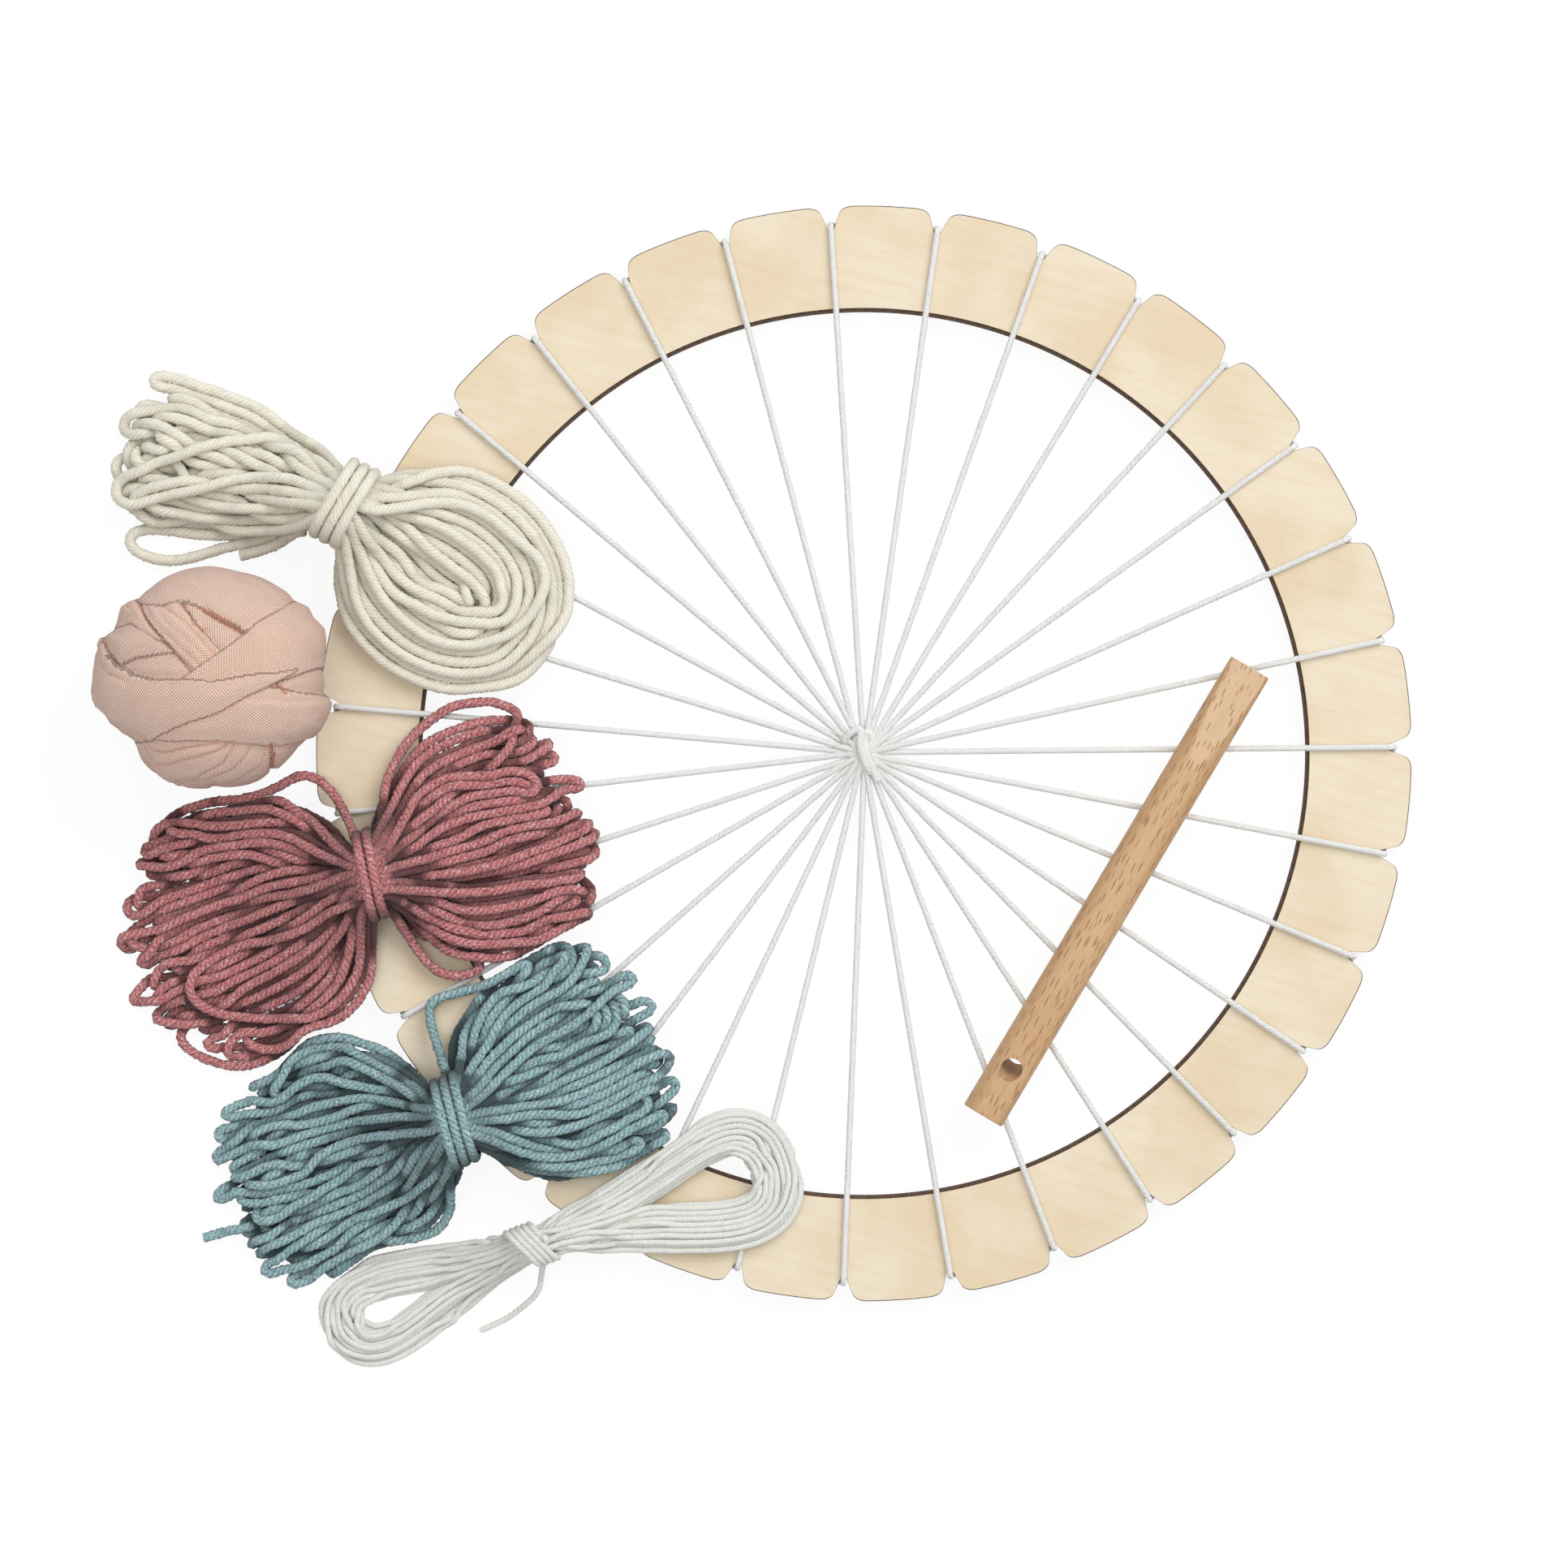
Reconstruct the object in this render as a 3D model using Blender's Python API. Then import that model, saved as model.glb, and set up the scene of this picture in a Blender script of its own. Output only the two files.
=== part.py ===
"""Circular weaving loom: a notched plywood ring strung with one warp string, and the loose
things that lie with it: a weaving needle, three yarn hanks, a ball of ribbon and a string hank.

Units are metres, +Z is up and the table is z = 0. Everything is placed from the ring's centre,
and the last step moves the whole kit so that the middle of its base is the world origin.
"""
import math

import bmesh
import bpy
import numpy as np
from mathutils import Matrix, Vector

MM = 0.001

# Fit between touching pieces
GAP = 0.3 * MM

# Plywood ring
RING_DIAMETER = 300 * MM
RING_WIDTH = 28.2 * MM
RING_THICKNESS = 4 * MM
NOTCH_COUNT = 31
NOTCH_DEPTH = 6 * MM
NOTCH_FLARE_DEPTH = 4 * MM
NOTCH_FLARE_ANGLE = math.radians(22)
NOTCH_MOUTH_WIDTH = 12.5 * MM
NOTCH_FLOOR_EASE = 0.1 * MM
FIRST_NOTCH_ANGLE = math.radians(-3.6)
INNER_SIDES_PER_NOTCH = 4

# Warp string and the knot that gathers it
WARP_DIAMETER = 1.7 * MM
HUB_EASE = 0.4 * MM
KNOT_HALF_HEIGHT = 2.6 * MM
KNOT_WRAPS = 3
KNOT_WRAP_HEADING = math.radians(-49)
START_TAIL_LENGTH = 12 * MM

# Weaving needle, a beech dowel with a chisel tip and an eye
NEEDLE_DIAMETER = 12 * MM
NEEDLE_LENGTH = 142.3 * MM
NEEDLE_MIDDLE = (68.8 * MM, -37.7 * MM)
NEEDLE_HEADING = math.radians(59.2)
NEEDLE_TIP_THICKNESS = 5.2 * MM
NEEDLE_TIP_TAPER = 32 * MM
NEEDLE_EYE_DIAMETER = 6 * MM
NEEDLE_EYE_FROM_END = 14.6 * MM

# Yarns and string of the hanks
CREAM_YARN_DIAMETER = 3.8 * MM
ROSE_YARN_DIAMETER = 3.4 * MM
BLUE_YARN_DIAMETER = 3.4 * MM
STRING_DIAMETER = 1.7 * MM
STRAND_GAP = 0.6 * MM
LAYER_GAP = 1.6 * MM
TIE_GAP = 1.8 * MM
BENT_HANK_TIE_GAP = 2.4 * MM
WAIST_SPREAD = 1.45
END_SPREAD = 1.9
DRAPE_SHOULDER = 4 * MM
DRAPE_RUN = 45 * MM
WAIST_SHARE = 0.2
WAIST_HALF_LENGTH = 12 * MM
WAIST_RUN = 18 * MM
YARN_POINTS_PER_LOOP = 20
STRING_POINTS_PER_LOOP = 16
TIE_POINTS_PER_TURN = 8
CLIMB_TURNS = 0.2
INNER_LAYER_STAGGER = 0.25
LOBE_START = 0.8 * WAIST_SHARE
LOBE_RUN = 0.6
LOBE_FULLNESS = 0.6
LOBE_PEAK = 0.8
TIE_SNUG_TURNS = 0.25
TIE_SQUARENESS = 5

# Ball of knitted ribbon
BALL_SIZE = (65.8 * MM, 62.4 * MM, 58 * MM)
BALL_MIDDLE = (-176.6 * MM, 20.1 * MM)
RIBBON_WIDTH = 21 * MM
RIBBON_THICKNESS = 0.7 * MM
RIBBON_TURNS = 5
RIBBON_POINTS_PER_TURN = 16
RIBBON_TURN_GAP = 0.5 * MM
RIBBON_TILT = math.radians(58)
BALL_FLAT = 0.5 * MM

# Sizes that follow from the ones above
RING_RADIUS = RING_DIAMETER / 2
RING_INNER_RADIUS = RING_RADIUS - RING_WIDTH
RING_BOTTOM = WARP_DIAMETER + GAP
RING_TOP = RING_BOTTOM + RING_THICKNESS
NOTCH_FLOOR_RADIUS = RING_RADIUS - NOTCH_DEPTH
NOTCH_FLOOR_WIDTH = WARP_DIAMETER + NOTCH_FLOOR_EASE
NOTCH_STEP = 2 * math.pi / NOTCH_COUNT
WARP_BEND = GAP + WARP_DIAMETER / 2
WARP_FRONT = RING_TOP + WARP_BEND
WARP_LEVEL_STEP = WARP_DIAMETER + GAP
WARP_TOP = WARP_FRONT + WARP_DIAMETER / 2
REST_LEVEL = WARP_TOP + GAP
START_NOTCH = 2 * ((NOTCH_COUNT // 2 + 1) // 2)
LAST_SPOKE = START_NOTCH - 1
SPOKES_PER_LEVEL = (NOTCH_COUNT + 1) // 2
HUB_RADIUS = SPOKES_PER_LEVEL * (WARP_DIAMETER + GAP) / (2 * math.pi) - GAP + HUB_EASE

for old in list(bpy.data.objects):
    bpy.data.objects.remove(old, do_unlink=True)


def new_collection(name):
    """A collection of that name in the scene, empty."""
    collection = bpy.data.collections.get(name) or bpy.data.collections.new(name)
    if collection.name not in bpy.context.scene.collection.children:
        bpy.context.scene.collection.children.link(collection)
    return collection


PARTS = new_collection("circular_weaving_loom")
CUTTERS = new_collection("cutters")

KIT = bpy.data.objects.new("kit_origin", None)
PARTS.objects.link(KIT)


def new_material(name, color, roughness):
    """A plain Principled material, not metallic."""
    material = bpy.data.materials.new(name)
    material.use_nodes = True
    shader = material.node_tree.nodes["Principled BSDF"]
    shader.inputs["Base Color"].default_value = (*color, 1.0)
    shader.inputs["Roughness"].default_value = roughness
    shader.inputs["Metallic"].default_value = 0.0
    material.diffuse_color = (*color, 1.0)
    return material


BIRCH = (0.83, 0.70, 0.51)
BEECH = (0.67, 0.43, 0.25)
WARP_WHITE = (0.87, 0.87, 0.83)
CREAM = (0.81, 0.78, 0.65)
ROSE = (0.45, 0.13, 0.16)
BLUE = (0.19, 0.38, 0.42)
PEACH = (0.87, 0.58, 0.44)


def add_part(obj, color, roughness):
    """Put an object among the parts, under the kit's origin, with a material of its own."""
    PARTS.objects.link(obj)
    obj.parent = KIT
    obj.data.materials.clear()
    obj.data.materials.append(new_material(obj.name + "_finish", color, roughness))
    return obj


def add_cutter(obj):
    """Keep a cutter beside the parts, drawn as wire and left out of the model."""
    CUTTERS.objects.link(obj)
    obj.parent = KIT
    obj.hide_render = True
    obj.display_type = "WIRE"
    return obj


def join_with(obj, tool, operation, crosses_itself=False):
    """Cut or fuse one object with another by an exact Boolean."""
    modifier = obj.modifiers.new(operation.lower(), "BOOLEAN")
    modifier.operation = operation
    modifier.solver = "EXACT"
    modifier.use_self = crosses_itself
    modifier.object = tool


def mesh_object(name, build):
    """An object whose mesh is filled by build(bm)."""
    bm = bmesh.new()
    build(bm)
    mesh = bpy.data.meshes.new(name)
    bm.to_mesh(mesh)
    bm.free()
    return bpy.data.objects.new(name, mesh)


def shade(obj, angle=math.radians(35)):
    """Smooth shading that keeps edges sharper than the angle."""
    obj.data.shade_smooth()
    obj.data.set_sharp_from_angle(angle=angle)


def tube_curve(name, points, diameter, sides_resolution=1):
    """A round strand along a poly line, as a curve with a bevel and filled caps."""
    curve = bpy.data.curves.new(name, "CURVE")
    curve.dimensions = "3D"
    curve.bevel_depth = diameter / 2
    curve.bevel_resolution = sides_resolution
    curve.use_fill_caps = True
    spline = curve.splines.new("POLY")
    spline.points.add(len(points) - 1)
    for target, point in zip(spline.points, points):
        target.co = (*point, 1.0)
    return bpy.data.objects.new(name, curve)


def as_mesh(obj):
    """The object's evaluated shape as a welded mesh object; the source object is removed."""
    bpy.context.scene.collection.objects.link(obj)
    bpy.context.view_layer.update()
    depsgraph = bpy.context.evaluated_depsgraph_get()
    mesh = bpy.data.meshes.new_from_object(obj.evaluated_get(depsgraph))
    bm = bmesh.new()
    bm.from_mesh(mesh)
    bmesh.ops.remove_doubles(bm, verts=bm.verts, dist=0.001 * MM)
    bmesh.ops.recalc_face_normals(bm, faces=bm.faces)
    bm.to_mesh(mesh)
    bm.free()
    result = bpy.data.objects.new(obj.name, mesh)
    result.matrix_world = obj.matrix_world
    name = obj.name
    bpy.data.objects.remove(obj, do_unlink=True)
    result.name = name
    return result


def smooth_step(value):
    """0 below 0, 1 above 1, and an even S between them."""
    value = min(1.0, max(0.0, value))
    return value * value * (3 - 2 * value)


def rest_height(x, y):
    """Where a loose piece lies: on the warp over the loom, on the table outside it."""
    beyond = (math.hypot(x, y) - RING_RADIUS - DRAPE_SHOULDER) / DRAPE_RUN
    return REST_LEVEL * (1 - smooth_step(beyond))


def least_gap(points, diameter, samples=12):
    """The least free distance between a strand and itself, away from its own neighbourhood."""
    corners = np.array(points)
    shares = np.arange(samples) / samples
    runs = [a + (b - a) * shares[:, None] for a, b in zip(corners[:-1], corners[1:])]
    line = np.vstack(runs + [corners[-1:]])
    along = np.concatenate([[0.0], np.cumsum(np.linalg.norm(np.diff(line, axis=0), axis=1))])
    distance = np.linalg.norm(line[:, None] - line[None], axis=2)
    apart = np.abs(along[:, None] - along[None]) > 3 * diameter
    return float(distance[apart].min()) - diameter


# Plywood ring

def notch_angle(index):
    """Angle of a notch, clockwise from +Y."""
    return FIRST_NOTCH_ANGLE + index * NOTCH_STEP


def radial(angle):
    """Unit vector out from the ring's centre, for an angle clockwise from +Y."""
    return Vector((math.sin(angle), math.cos(angle), 0.0))


def tab_outline(index):
    """Outline of one tab, from the floor of its notch to the floor of the next one."""
    middle = notch_angle(index) + NOTCH_STEP / 2
    out = radial(middle)

    def from_notch(side, depth_up, half_width):
        """Point of a notch's wall; side is -1 for the first notch and 1 for the next one."""
        angle = middle + side * NOTCH_STEP / 2
        axis = radial(angle)
        sideways = Vector((axis.y, -axis.x, 0.0))
        return axis * (NOTCH_FLOOR_RADIUS + depth_up) - side * sideways * half_width

    flare_width = NOTCH_FLOOR_WIDTH / 2 + NOTCH_FLARE_DEPTH * math.tan(NOTCH_FLARE_ANGLE)
    half_points = []
    for side in (-1, 1):
        floor = from_notch(side, 0.0, NOTCH_FLOOR_WIDTH / 2)
        flare = from_notch(side, NOTCH_FLARE_DEPTH, flare_width)
        mouth_angle = NOTCH_MOUTH_WIDTH / 2 / RING_RADIUS
        shoulder = radial(middle + side * (NOTCH_STEP / 2 - mouth_angle)) * RING_RADIUS
        wall = (flare - floor).normalized()
        corner = flare + wall * (RING_RADIUS - NOTCH_FLOOR_RADIUS - NOTCH_FLARE_DEPTH)
        rounding = []
        for share in (1 / 3, 2 / 3):
            blend = flare * (1 - share) ** 2 + corner * 2 * share * (1 - share)
            rounding.append(blend + shoulder * share ** 2)
        half_points.append([floor, flare, *rounding, shoulder])
    return half_points[0] + [out * RING_RADIUS] + half_points[1][::-1]


def make_ring():
    """The flat ring: 31 round-cornered tabs outside, a plain circle inside."""
    outline = [point for index in range(NOTCH_COUNT) for point in tab_outline(index)]
    inner_count = NOTCH_COUNT * INNER_SIDES_PER_NOTCH
    inner = [radial(notch_angle(0) + 2 * math.pi * i / inner_count) * RING_INNER_RADIUS
             for i in range(inner_count)]
    curve = bpy.data.curves.new("loom_ring", "CURVE")
    curve.dimensions = "2D"
    curve.fill_mode = "BOTH"
    curve.extrude = RING_THICKNESS / 2
    for loop in (outline, inner):
        spline = curve.splines.new("POLY")
        spline.points.add(len(loop) - 1)
        for target, point in zip(spline.points, loop):
            target.co = (point.x, point.y, 0.0, 1.0)
        spline.use_cyclic_u = True
    ring = bpy.data.objects.new("loom_ring", curve)
    ring.location.z = RING_BOTTOM + RING_THICKNESS / 2
    ring = as_mesh(ring)
    add_part(ring, BIRCH, 0.55)


# Warp string

def back_partner(index):
    """The notch that the string runs to behind the ring; the start's tail points that way too."""
    if index == START_NOTCH:
        return index + 1
    pairs_start = 0 if index < START_NOTCH else START_NOTCH + 1
    return index + 1 if (index - pairs_start) % 2 == 0 else index - 1


def spoke_level(index):
    """Height level of a spoke at the hub; the last spoke comes in over all the others."""
    order = (index - LAST_SPOKE) % NOTCH_COUNT
    if order == 0:
        return 2
    return (order + 1) % 2


def back_direction(index):
    """Unit vector from a notch towards its partner notch."""
    here = radial(notch_angle(index))
    there = radial(notch_angle(back_partner(index)))
    return (there - here).normalized()


def make_spoke(index):
    """One run of the warp: hub, ring face, over the notch floor, down and round to the back."""
    out = radial(notch_angle(index))
    lift = spoke_level(index) * WARP_LEVEL_STEP
    rows = [(HUB_RADIUS + GAP, WARP_FRONT + lift)]
    if lift:
        level_run = 1.5 * WARP_DIAMETER
        climb_run = 3.2 * WARP_DIAMETER * spoke_level(index)
        rows.append((HUB_RADIUS + GAP + level_run, WARP_FRONT + lift))
        rows.append((HUB_RADIUS + GAP + level_run + climb_run, WARP_FRONT))
    turn = WARP_BEND * math.sqrt(0.5)
    rows.append((NOTCH_FLOOR_RADIUS, WARP_FRONT))
    rows.append((NOTCH_FLOOR_RADIUS + turn, RING_TOP + turn))
    rows.append((NOTCH_FLOOR_RADIUS + WARP_BEND, RING_TOP))
    rows.append((NOTCH_FLOOR_RADIUS + WARP_BEND, RING_BOTTOM))
    points = [out * distance + Vector((0, 0, height)) for distance, height in rows]
    foot = out * (NOTCH_FLOOR_RADIUS + WARP_BEND)
    behind = back_direction(index)
    points.append(foot + behind * (WARP_BEND - turn) + Vector((0, 0, RING_BOTTOM - turn)))
    points.append(foot + behind * WARP_BEND + Vector((0, 0, RING_BOTTOM - WARP_BEND)))
    name = f"warp_spoke_{index + 1:02d}"
    add_part(tube_curve(name, points, WARP_DIAMETER), WARP_WHITE, 0.8)


def behind_notch(index, towards):
    """Where a string behind the ring starts, just past a notch, on its way along a direction."""
    foot = radial(notch_angle(index)) * (NOTCH_FLOOR_RADIUS + WARP_BEND)
    return foot + towards * (WARP_BEND + GAP) + Vector((0, 0, RING_BOTTOM - WARP_BEND))


def make_back_run(number, index):
    """The straight run of the warp behind one tab."""
    behind = back_direction(index)
    start = behind_notch(index, behind)
    end = behind_notch(back_partner(index), -behind)
    name = f"warp_back_{number:02d}"
    add_part(tube_curve(name, [start, end], WARP_DIAMETER), WARP_WHITE, 0.8)


def make_tail():
    """The loose end where the warp starts, behind the tab beside its notch."""
    behind = back_direction(START_NOTCH)
    start = behind_notch(START_NOTCH, behind)
    end = start + behind * START_TAIL_LENGTH
    add_part(tube_curve("warp_tail", [start, end], WARP_DIAMETER), WARP_WHITE, 0.8)


def make_warp():
    """All runs of the warp string."""
    for index in range(NOTCH_COUNT):
        make_spoke(index)
    first_of_pair = [i for i in range(NOTCH_COUNT)
                     if i != START_NOTCH and back_partner(i) == i + 1]
    for number, index in enumerate(first_of_pair, start=1):
        make_back_run(number, index)
    make_tail()


def make_centre_knot():
    """The gathering knot: a flattened lump with parallel wraps laid over it."""
    middle = Vector((0, 0, WARP_FRONT + WARP_LEVEL_STEP / 2))

    def lump(bm):
        bmesh.ops.create_uvsphere(bm, u_segments=20, v_segments=10, radius=1.0)
        size = Matrix.Diagonal((HUB_RADIUS, HUB_RADIUS, KNOT_HALF_HEIGHT, 1.0))
        bm.transform(Matrix.Translation(middle) @ size)

    knot = add_part(mesh_object("centre_knot", lump), WARP_WHITE, 0.8)
    along = Vector((math.cos(KNOT_WRAP_HEADING), math.sin(KNOT_WRAP_HEADING), 0))
    across = Vector((-along.y, along.x, 0))
    spacing = 0.9 * WARP_DIAMETER
    proud = 0.1 * WARP_DIAMETER
    wrap_steps = 8
    for number in range(KNOT_WRAPS):
        offset = (number - (KNOT_WRAPS - 1) / 2) * spacing
        reach = math.sqrt(HUB_RADIUS ** 2 - offset ** 2) - WARP_DIAMETER / 2
        points = []
        for step in range(wrap_steps + 1):
            distance = -math.cos(math.pi * step / wrap_steps) * reach
            share = (distance ** 2 + offset ** 2) / HUB_RADIUS ** 2
            height = KNOT_HALF_HEIGHT * math.sqrt(max(0.0, 1 - share)) + proud
            points.append(middle + along * distance + across * offset + Vector((0, 0, height)))
        wrap = as_mesh(tube_curve(f"knot_wrap_{number + 1}", points, WARP_DIAMETER, 2))
        join_with(knot, add_cutter(wrap), "UNION")


# Weaving needle

def make_needle():
    """A dowel that lies on the warp, with a flat taper above and below its tip and an eye."""
    radius = NEEDLE_DIAMETER / 2
    turn = Matrix.Rotation(NEEDLE_HEADING, 4, "Z")
    seat = Vector((*NEEDLE_MIDDLE, REST_LEVEL + radius))
    place = Matrix.Translation(seat) @ turn

    def dowel(bm):
        bmesh.ops.create_cone(bm, cap_ends=True, segments=36, radius1=radius, radius2=radius,
                              depth=NEEDLE_LENGTH)
        bm.transform(Matrix.Rotation(math.pi / 2, 4, "Y"))

    needle = add_part(mesh_object("needle", dowel), BEECH, 0.5)
    needle.matrix_local = place

    slope = math.atan2(radius - NEEDLE_TIP_THICKNESS / 2, NEEDLE_TIP_TAPER)
    block = Vector((3 * NEEDLE_TIP_TAPER, 2 * NEEDLE_DIAMETER, NEEDLE_DIAMETER))
    for side in (1, -1):
        def taper(bm, side=side):
            bmesh.ops.create_cube(bm, size=1.0)
            bm.transform(Matrix.Diagonal((*block, 1.0)))
            bm.transform(Matrix.Translation((0, 0, side * block.z / 2)))
            bm.transform(Matrix.Rotation(side * slope, 4, "Y"))
            bm.transform(Matrix.Translation((NEEDLE_LENGTH / 2, 0, side * NEEDLE_TIP_THICKNESS / 2)))

        name = "needle_taper_top" if side > 0 else "needle_taper_bottom"
        cutter = add_cutter(mesh_object(name, taper))
        cutter.matrix_local = place
        join_with(needle, cutter, "DIFFERENCE")

    def eye(bm):
        bmesh.ops.create_cone(bm, cap_ends=True, segments=24, radius1=NEEDLE_EYE_DIAMETER / 2,
                              radius2=NEEDLE_EYE_DIAMETER / 2, depth=2 * NEEDLE_DIAMETER)
        bm.transform(Matrix.Translation((NEEDLE_EYE_FROM_END - NEEDLE_LENGTH / 2, 0, 0)))

    cutter = add_cutter(mesh_object("needle_eye", eye))
    cutter.matrix_local = place
    join_with(needle, cutter, "DIFFERENCE")
    shade(needle)


# Hanks of yarn and string

class Lobe:
    """One end of a hank: its heading from the tie, its reach and its half width, outside."""

    def __init__(self, heading, reach, half_width):
        self.heading = math.radians(heading)
        self.reach = reach
        self.half_width = half_width


class Hank:
    """A hank drawn in by a tie: its strand, its loops and layers, and where it lies."""

    def __init__(self, name, strand, loops, layers, points_per_loop, tie, left, right, hole,
                 tie_gap=TIE_GAP):
        self.name = name
        self.strand = strand
        self.loops = loops
        self.layers = layers
        self.points_per_loop = points_per_loop
        self.tie = tie
        self.left = left
        self.right = right
        self.hole = hole
        self.tie_gap = tie_gap
        self.pitch = strand + STRAND_GAP
        self.layer_pitch = strand + LAYER_GAP
        self.turns_per_layer = loops / layers
        self.waist_step = WAIST_SPREAD * self.pitch
        self.waist_half_width = self.waist_step * self.turns_per_layer

    def mean_heading(self):
        """Direction through the tie, between the two lobes' own headings."""
        right = Vector((math.cos(self.right.heading), math.sin(self.right.heading)))
        left = Vector((math.cos(self.left.heading), math.sin(self.left.heading)))
        return (right - left).normalized()

    def spiral(self, turn):
        """How many loops in from the outside, and which layer, after that many turns."""
        layer = min(int(turn / self.turns_per_layer), self.layers - 1)
        within = turn - layer * self.turns_per_layer
        inward = within if layer % 2 == 0 else self.turns_per_layer - within
        climb = smooth_step(1 - (self.turns_per_layer - within) / CLIMB_TURNS)
        if layer == self.layers - 1:
            climb = 0.0
        return inward, layer, layer + climb

    def route(self):
        """Middle line of the strand: loops nested in layers and drawn in alike at the tie."""
        mean = self.mean_heading()
        points = []
        for step in range(self.loops * self.points_per_loop + 1):
            turn = step / self.points_per_loop
            inward, layer, height_layer = self.spiral(turn)
            angle = 2 * math.pi * (turn + 0.5 / self.points_per_loop)
            onward = 1 if math.cos(angle) > 0 else -1
            share = abs(math.cos(angle))
            lobe = self.right if onward > 0 else self.left
            ahead = Vector((math.cos(lobe.heading), math.sin(lobe.heading))) * onward
            if share < WAIST_SHARE:
                ahead = mean
            side = Vector((-ahead.y, ahead.x))
            stagger = INNER_LAYER_STAGGER if layer % 4 in (2, 3) else 0.0
            full_width = lobe.half_width - self.strand / 2
            lobe_step = (full_width - self.hole) / (self.turns_per_layer + INNER_LAYER_STAGGER)
            width = full_width - (inward + stagger) * lobe_step
            waist = self.waist_half_width - inward * self.waist_step
            end_step = END_SPREAD * self.pitch
            reach = share * (lobe.reach - self.strand / 2 - (inward + stagger) * end_step)
            swell = smooth_step((share - LOBE_START) / LOBE_RUN)
            swell *= abs(math.sin(angle)) ** LOBE_FULLNESS / LOBE_PEAK
            bundle = waist * abs(math.sin(angle))
            sideways = math.copysign(bundle + (width - bundle) * swell, math.sin(angle))
            flat = Vector(self.tie) + ahead * reach * onward + side * sideways
            rise = 1 - smooth_step((reach - WAIST_HALF_LENGTH) / WAIST_RUN)
            ground = rest_height(flat.x, flat.y) + self.strand / 2
            ground += (self.strand + self.tie_gap) * rise
            points.append(Vector((flat.x, flat.y, ground + height_layer * self.layer_pitch)))
        return points

    def tie_route(self, turns):
        """Middle line of the strand that is wound round the waist."""
        mean = self.mean_heading()
        across = Vector((-mean.y, mean.x))
        around = self.strand + self.tie_gap
        half_wide = (self.turns_per_layer - TIE_SNUG_TURNS) * self.waist_step + around
        half_high = (self.layers - 1) * self.layer_pitch / 2 + around
        points = []
        for step in range(int(turns * TIE_POINTS_PER_TURN) + 1):
            turned = step / TIE_POINTS_PER_TURN
            angle = 2 * math.pi * turned
            power = TIE_SQUARENESS
            rounding = (abs(math.cos(angle)) ** power + abs(math.sin(angle)) ** power) ** (1 / power)
            wide = math.cos(angle) / rounding * half_wide
            high = math.sin(angle) / rounding * half_high
            flat = Vector(self.tie) + mean * ((turned - turns / 2) * self.pitch) + across * wide
            ground = rest_height(flat.x, flat.y) + self.strand / 2
            points.append(Vector((flat.x, flat.y, ground + half_high + high)))
        return points


def make_hank(hank, color, tie_turns, tail=()):
    """The wound strand and its tie, each one unbroken tube; prints their least gaps."""
    route = hank.route()
    add_part(tube_curve(f"{hank.name}_hank", route, hank.strand), color, 0.9)
    print(hank.name, "hank least gap to itself, mm:", round(least_gap(route, hank.strand) / MM, 3))
    tie = hank.tie_route(tie_turns) + list(tail)
    add_part(tube_curve(f"{hank.name}_tie", tie, hank.strand), color, 0.9)
    print(hank.name, "tie least gap to itself, mm:", round(least_gap(tie, hank.strand) / MM, 3))


def make_hanks():
    """Three yarn hanks and the string hank, from the top of the kit to its bottom."""
    cream = Hank("cream", CREAM_YARN_DIAMETER, 8, 4, YARN_POINTS_PER_LOOP,
                 (-141.4 * MM, 68.5 * MM),
                 Lobe(170, 66 * MM, 27 * MM), Lobe(-35, 65 * MM, 29 * MM), 4 * MM,
                 BENT_HANK_TIE_GAP)
    rose = Hank("rose", ROSE_YARN_DIAMETER, 8, 4, YARN_POINTS_PER_LOOP,
                (-134.3 * MM, -32.6 * MM),
                Lobe(196, 72 * MM, 36 * MM), Lobe(14, 63 * MM, 34 * MM), 4 * MM)
    blue = Hank("blue", BLUE_YARN_DIAMETER, 8, 4, YARN_POINTS_PER_LOOP,
                (-112.1 * MM, -99.2 * MM),
                Lobe(202, 74 * MM, 30 * MM), Lobe(25, 64 * MM, 28 * MM), 4 * MM)
    string = Hank("string", STRING_DIAMETER, 6, 2, STRING_POINTS_PER_LOOP,
                  (-91.0 * MM, -133.7 * MM),
                  Lobe(203, 62 * MM, 14.5 * MM), Lobe(15.5, 74 * MM, 20 * MM), 3 * MM)
    tail_low = STRING_DIAMETER / 2
    tail = [Vector((-83.6 * MM, -148.6 * MM, 2.6 * MM)), Vector((-85.4 * MM, -151.6 * MM, tail_low)),
            Vector((-90.4 * MM, -154.2 * MM, tail_low)), Vector((-97.2 * MM, -156.6 * MM, tail_low)),
            Vector((-104.2 * MM, -160.2 * MM, tail_low))]
    make_hank(cream, CREAM, 2)
    make_hank(rose, ROSE, 2)
    make_hank(blue, BLUE, 2)
    make_hank(string, WARP_WHITE, 2.5, tail)


# Ball of ribbon

def ribbon_section(turn_angle, radius, inner_radius, flatten):
    """Five corners of the ribbon's cross section where it passes over the ball."""
    spin = turn_angle / RIBBON_TURNS
    normal = Vector((math.sin(RIBBON_TILT) * math.cos(spin),
                     math.sin(RIBBON_TILT) * math.sin(spin), math.cos(RIBBON_TILT)))
    first = Vector((-math.sin(spin), math.cos(spin), 0.0))
    second = normal.cross(first)
    on_path = first * math.cos(turn_angle) + second * math.sin(turn_angle)
    half_angle = RIBBON_WIDTH / 2 / radius
    outer = []
    for share in (-1, 0, 1):
        lean = half_angle * share
        direction = on_path * math.cos(lean) + normal * math.sin(lean)
        outer.append(flatten @ (direction * radius))
    inner = []
    for share in (1, -1):
        lean = half_angle * share
        direction = on_path * math.cos(lean) + normal * math.sin(lean)
        inner.append(flatten @ (direction * inner_radius))
    return outer + inner


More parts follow.
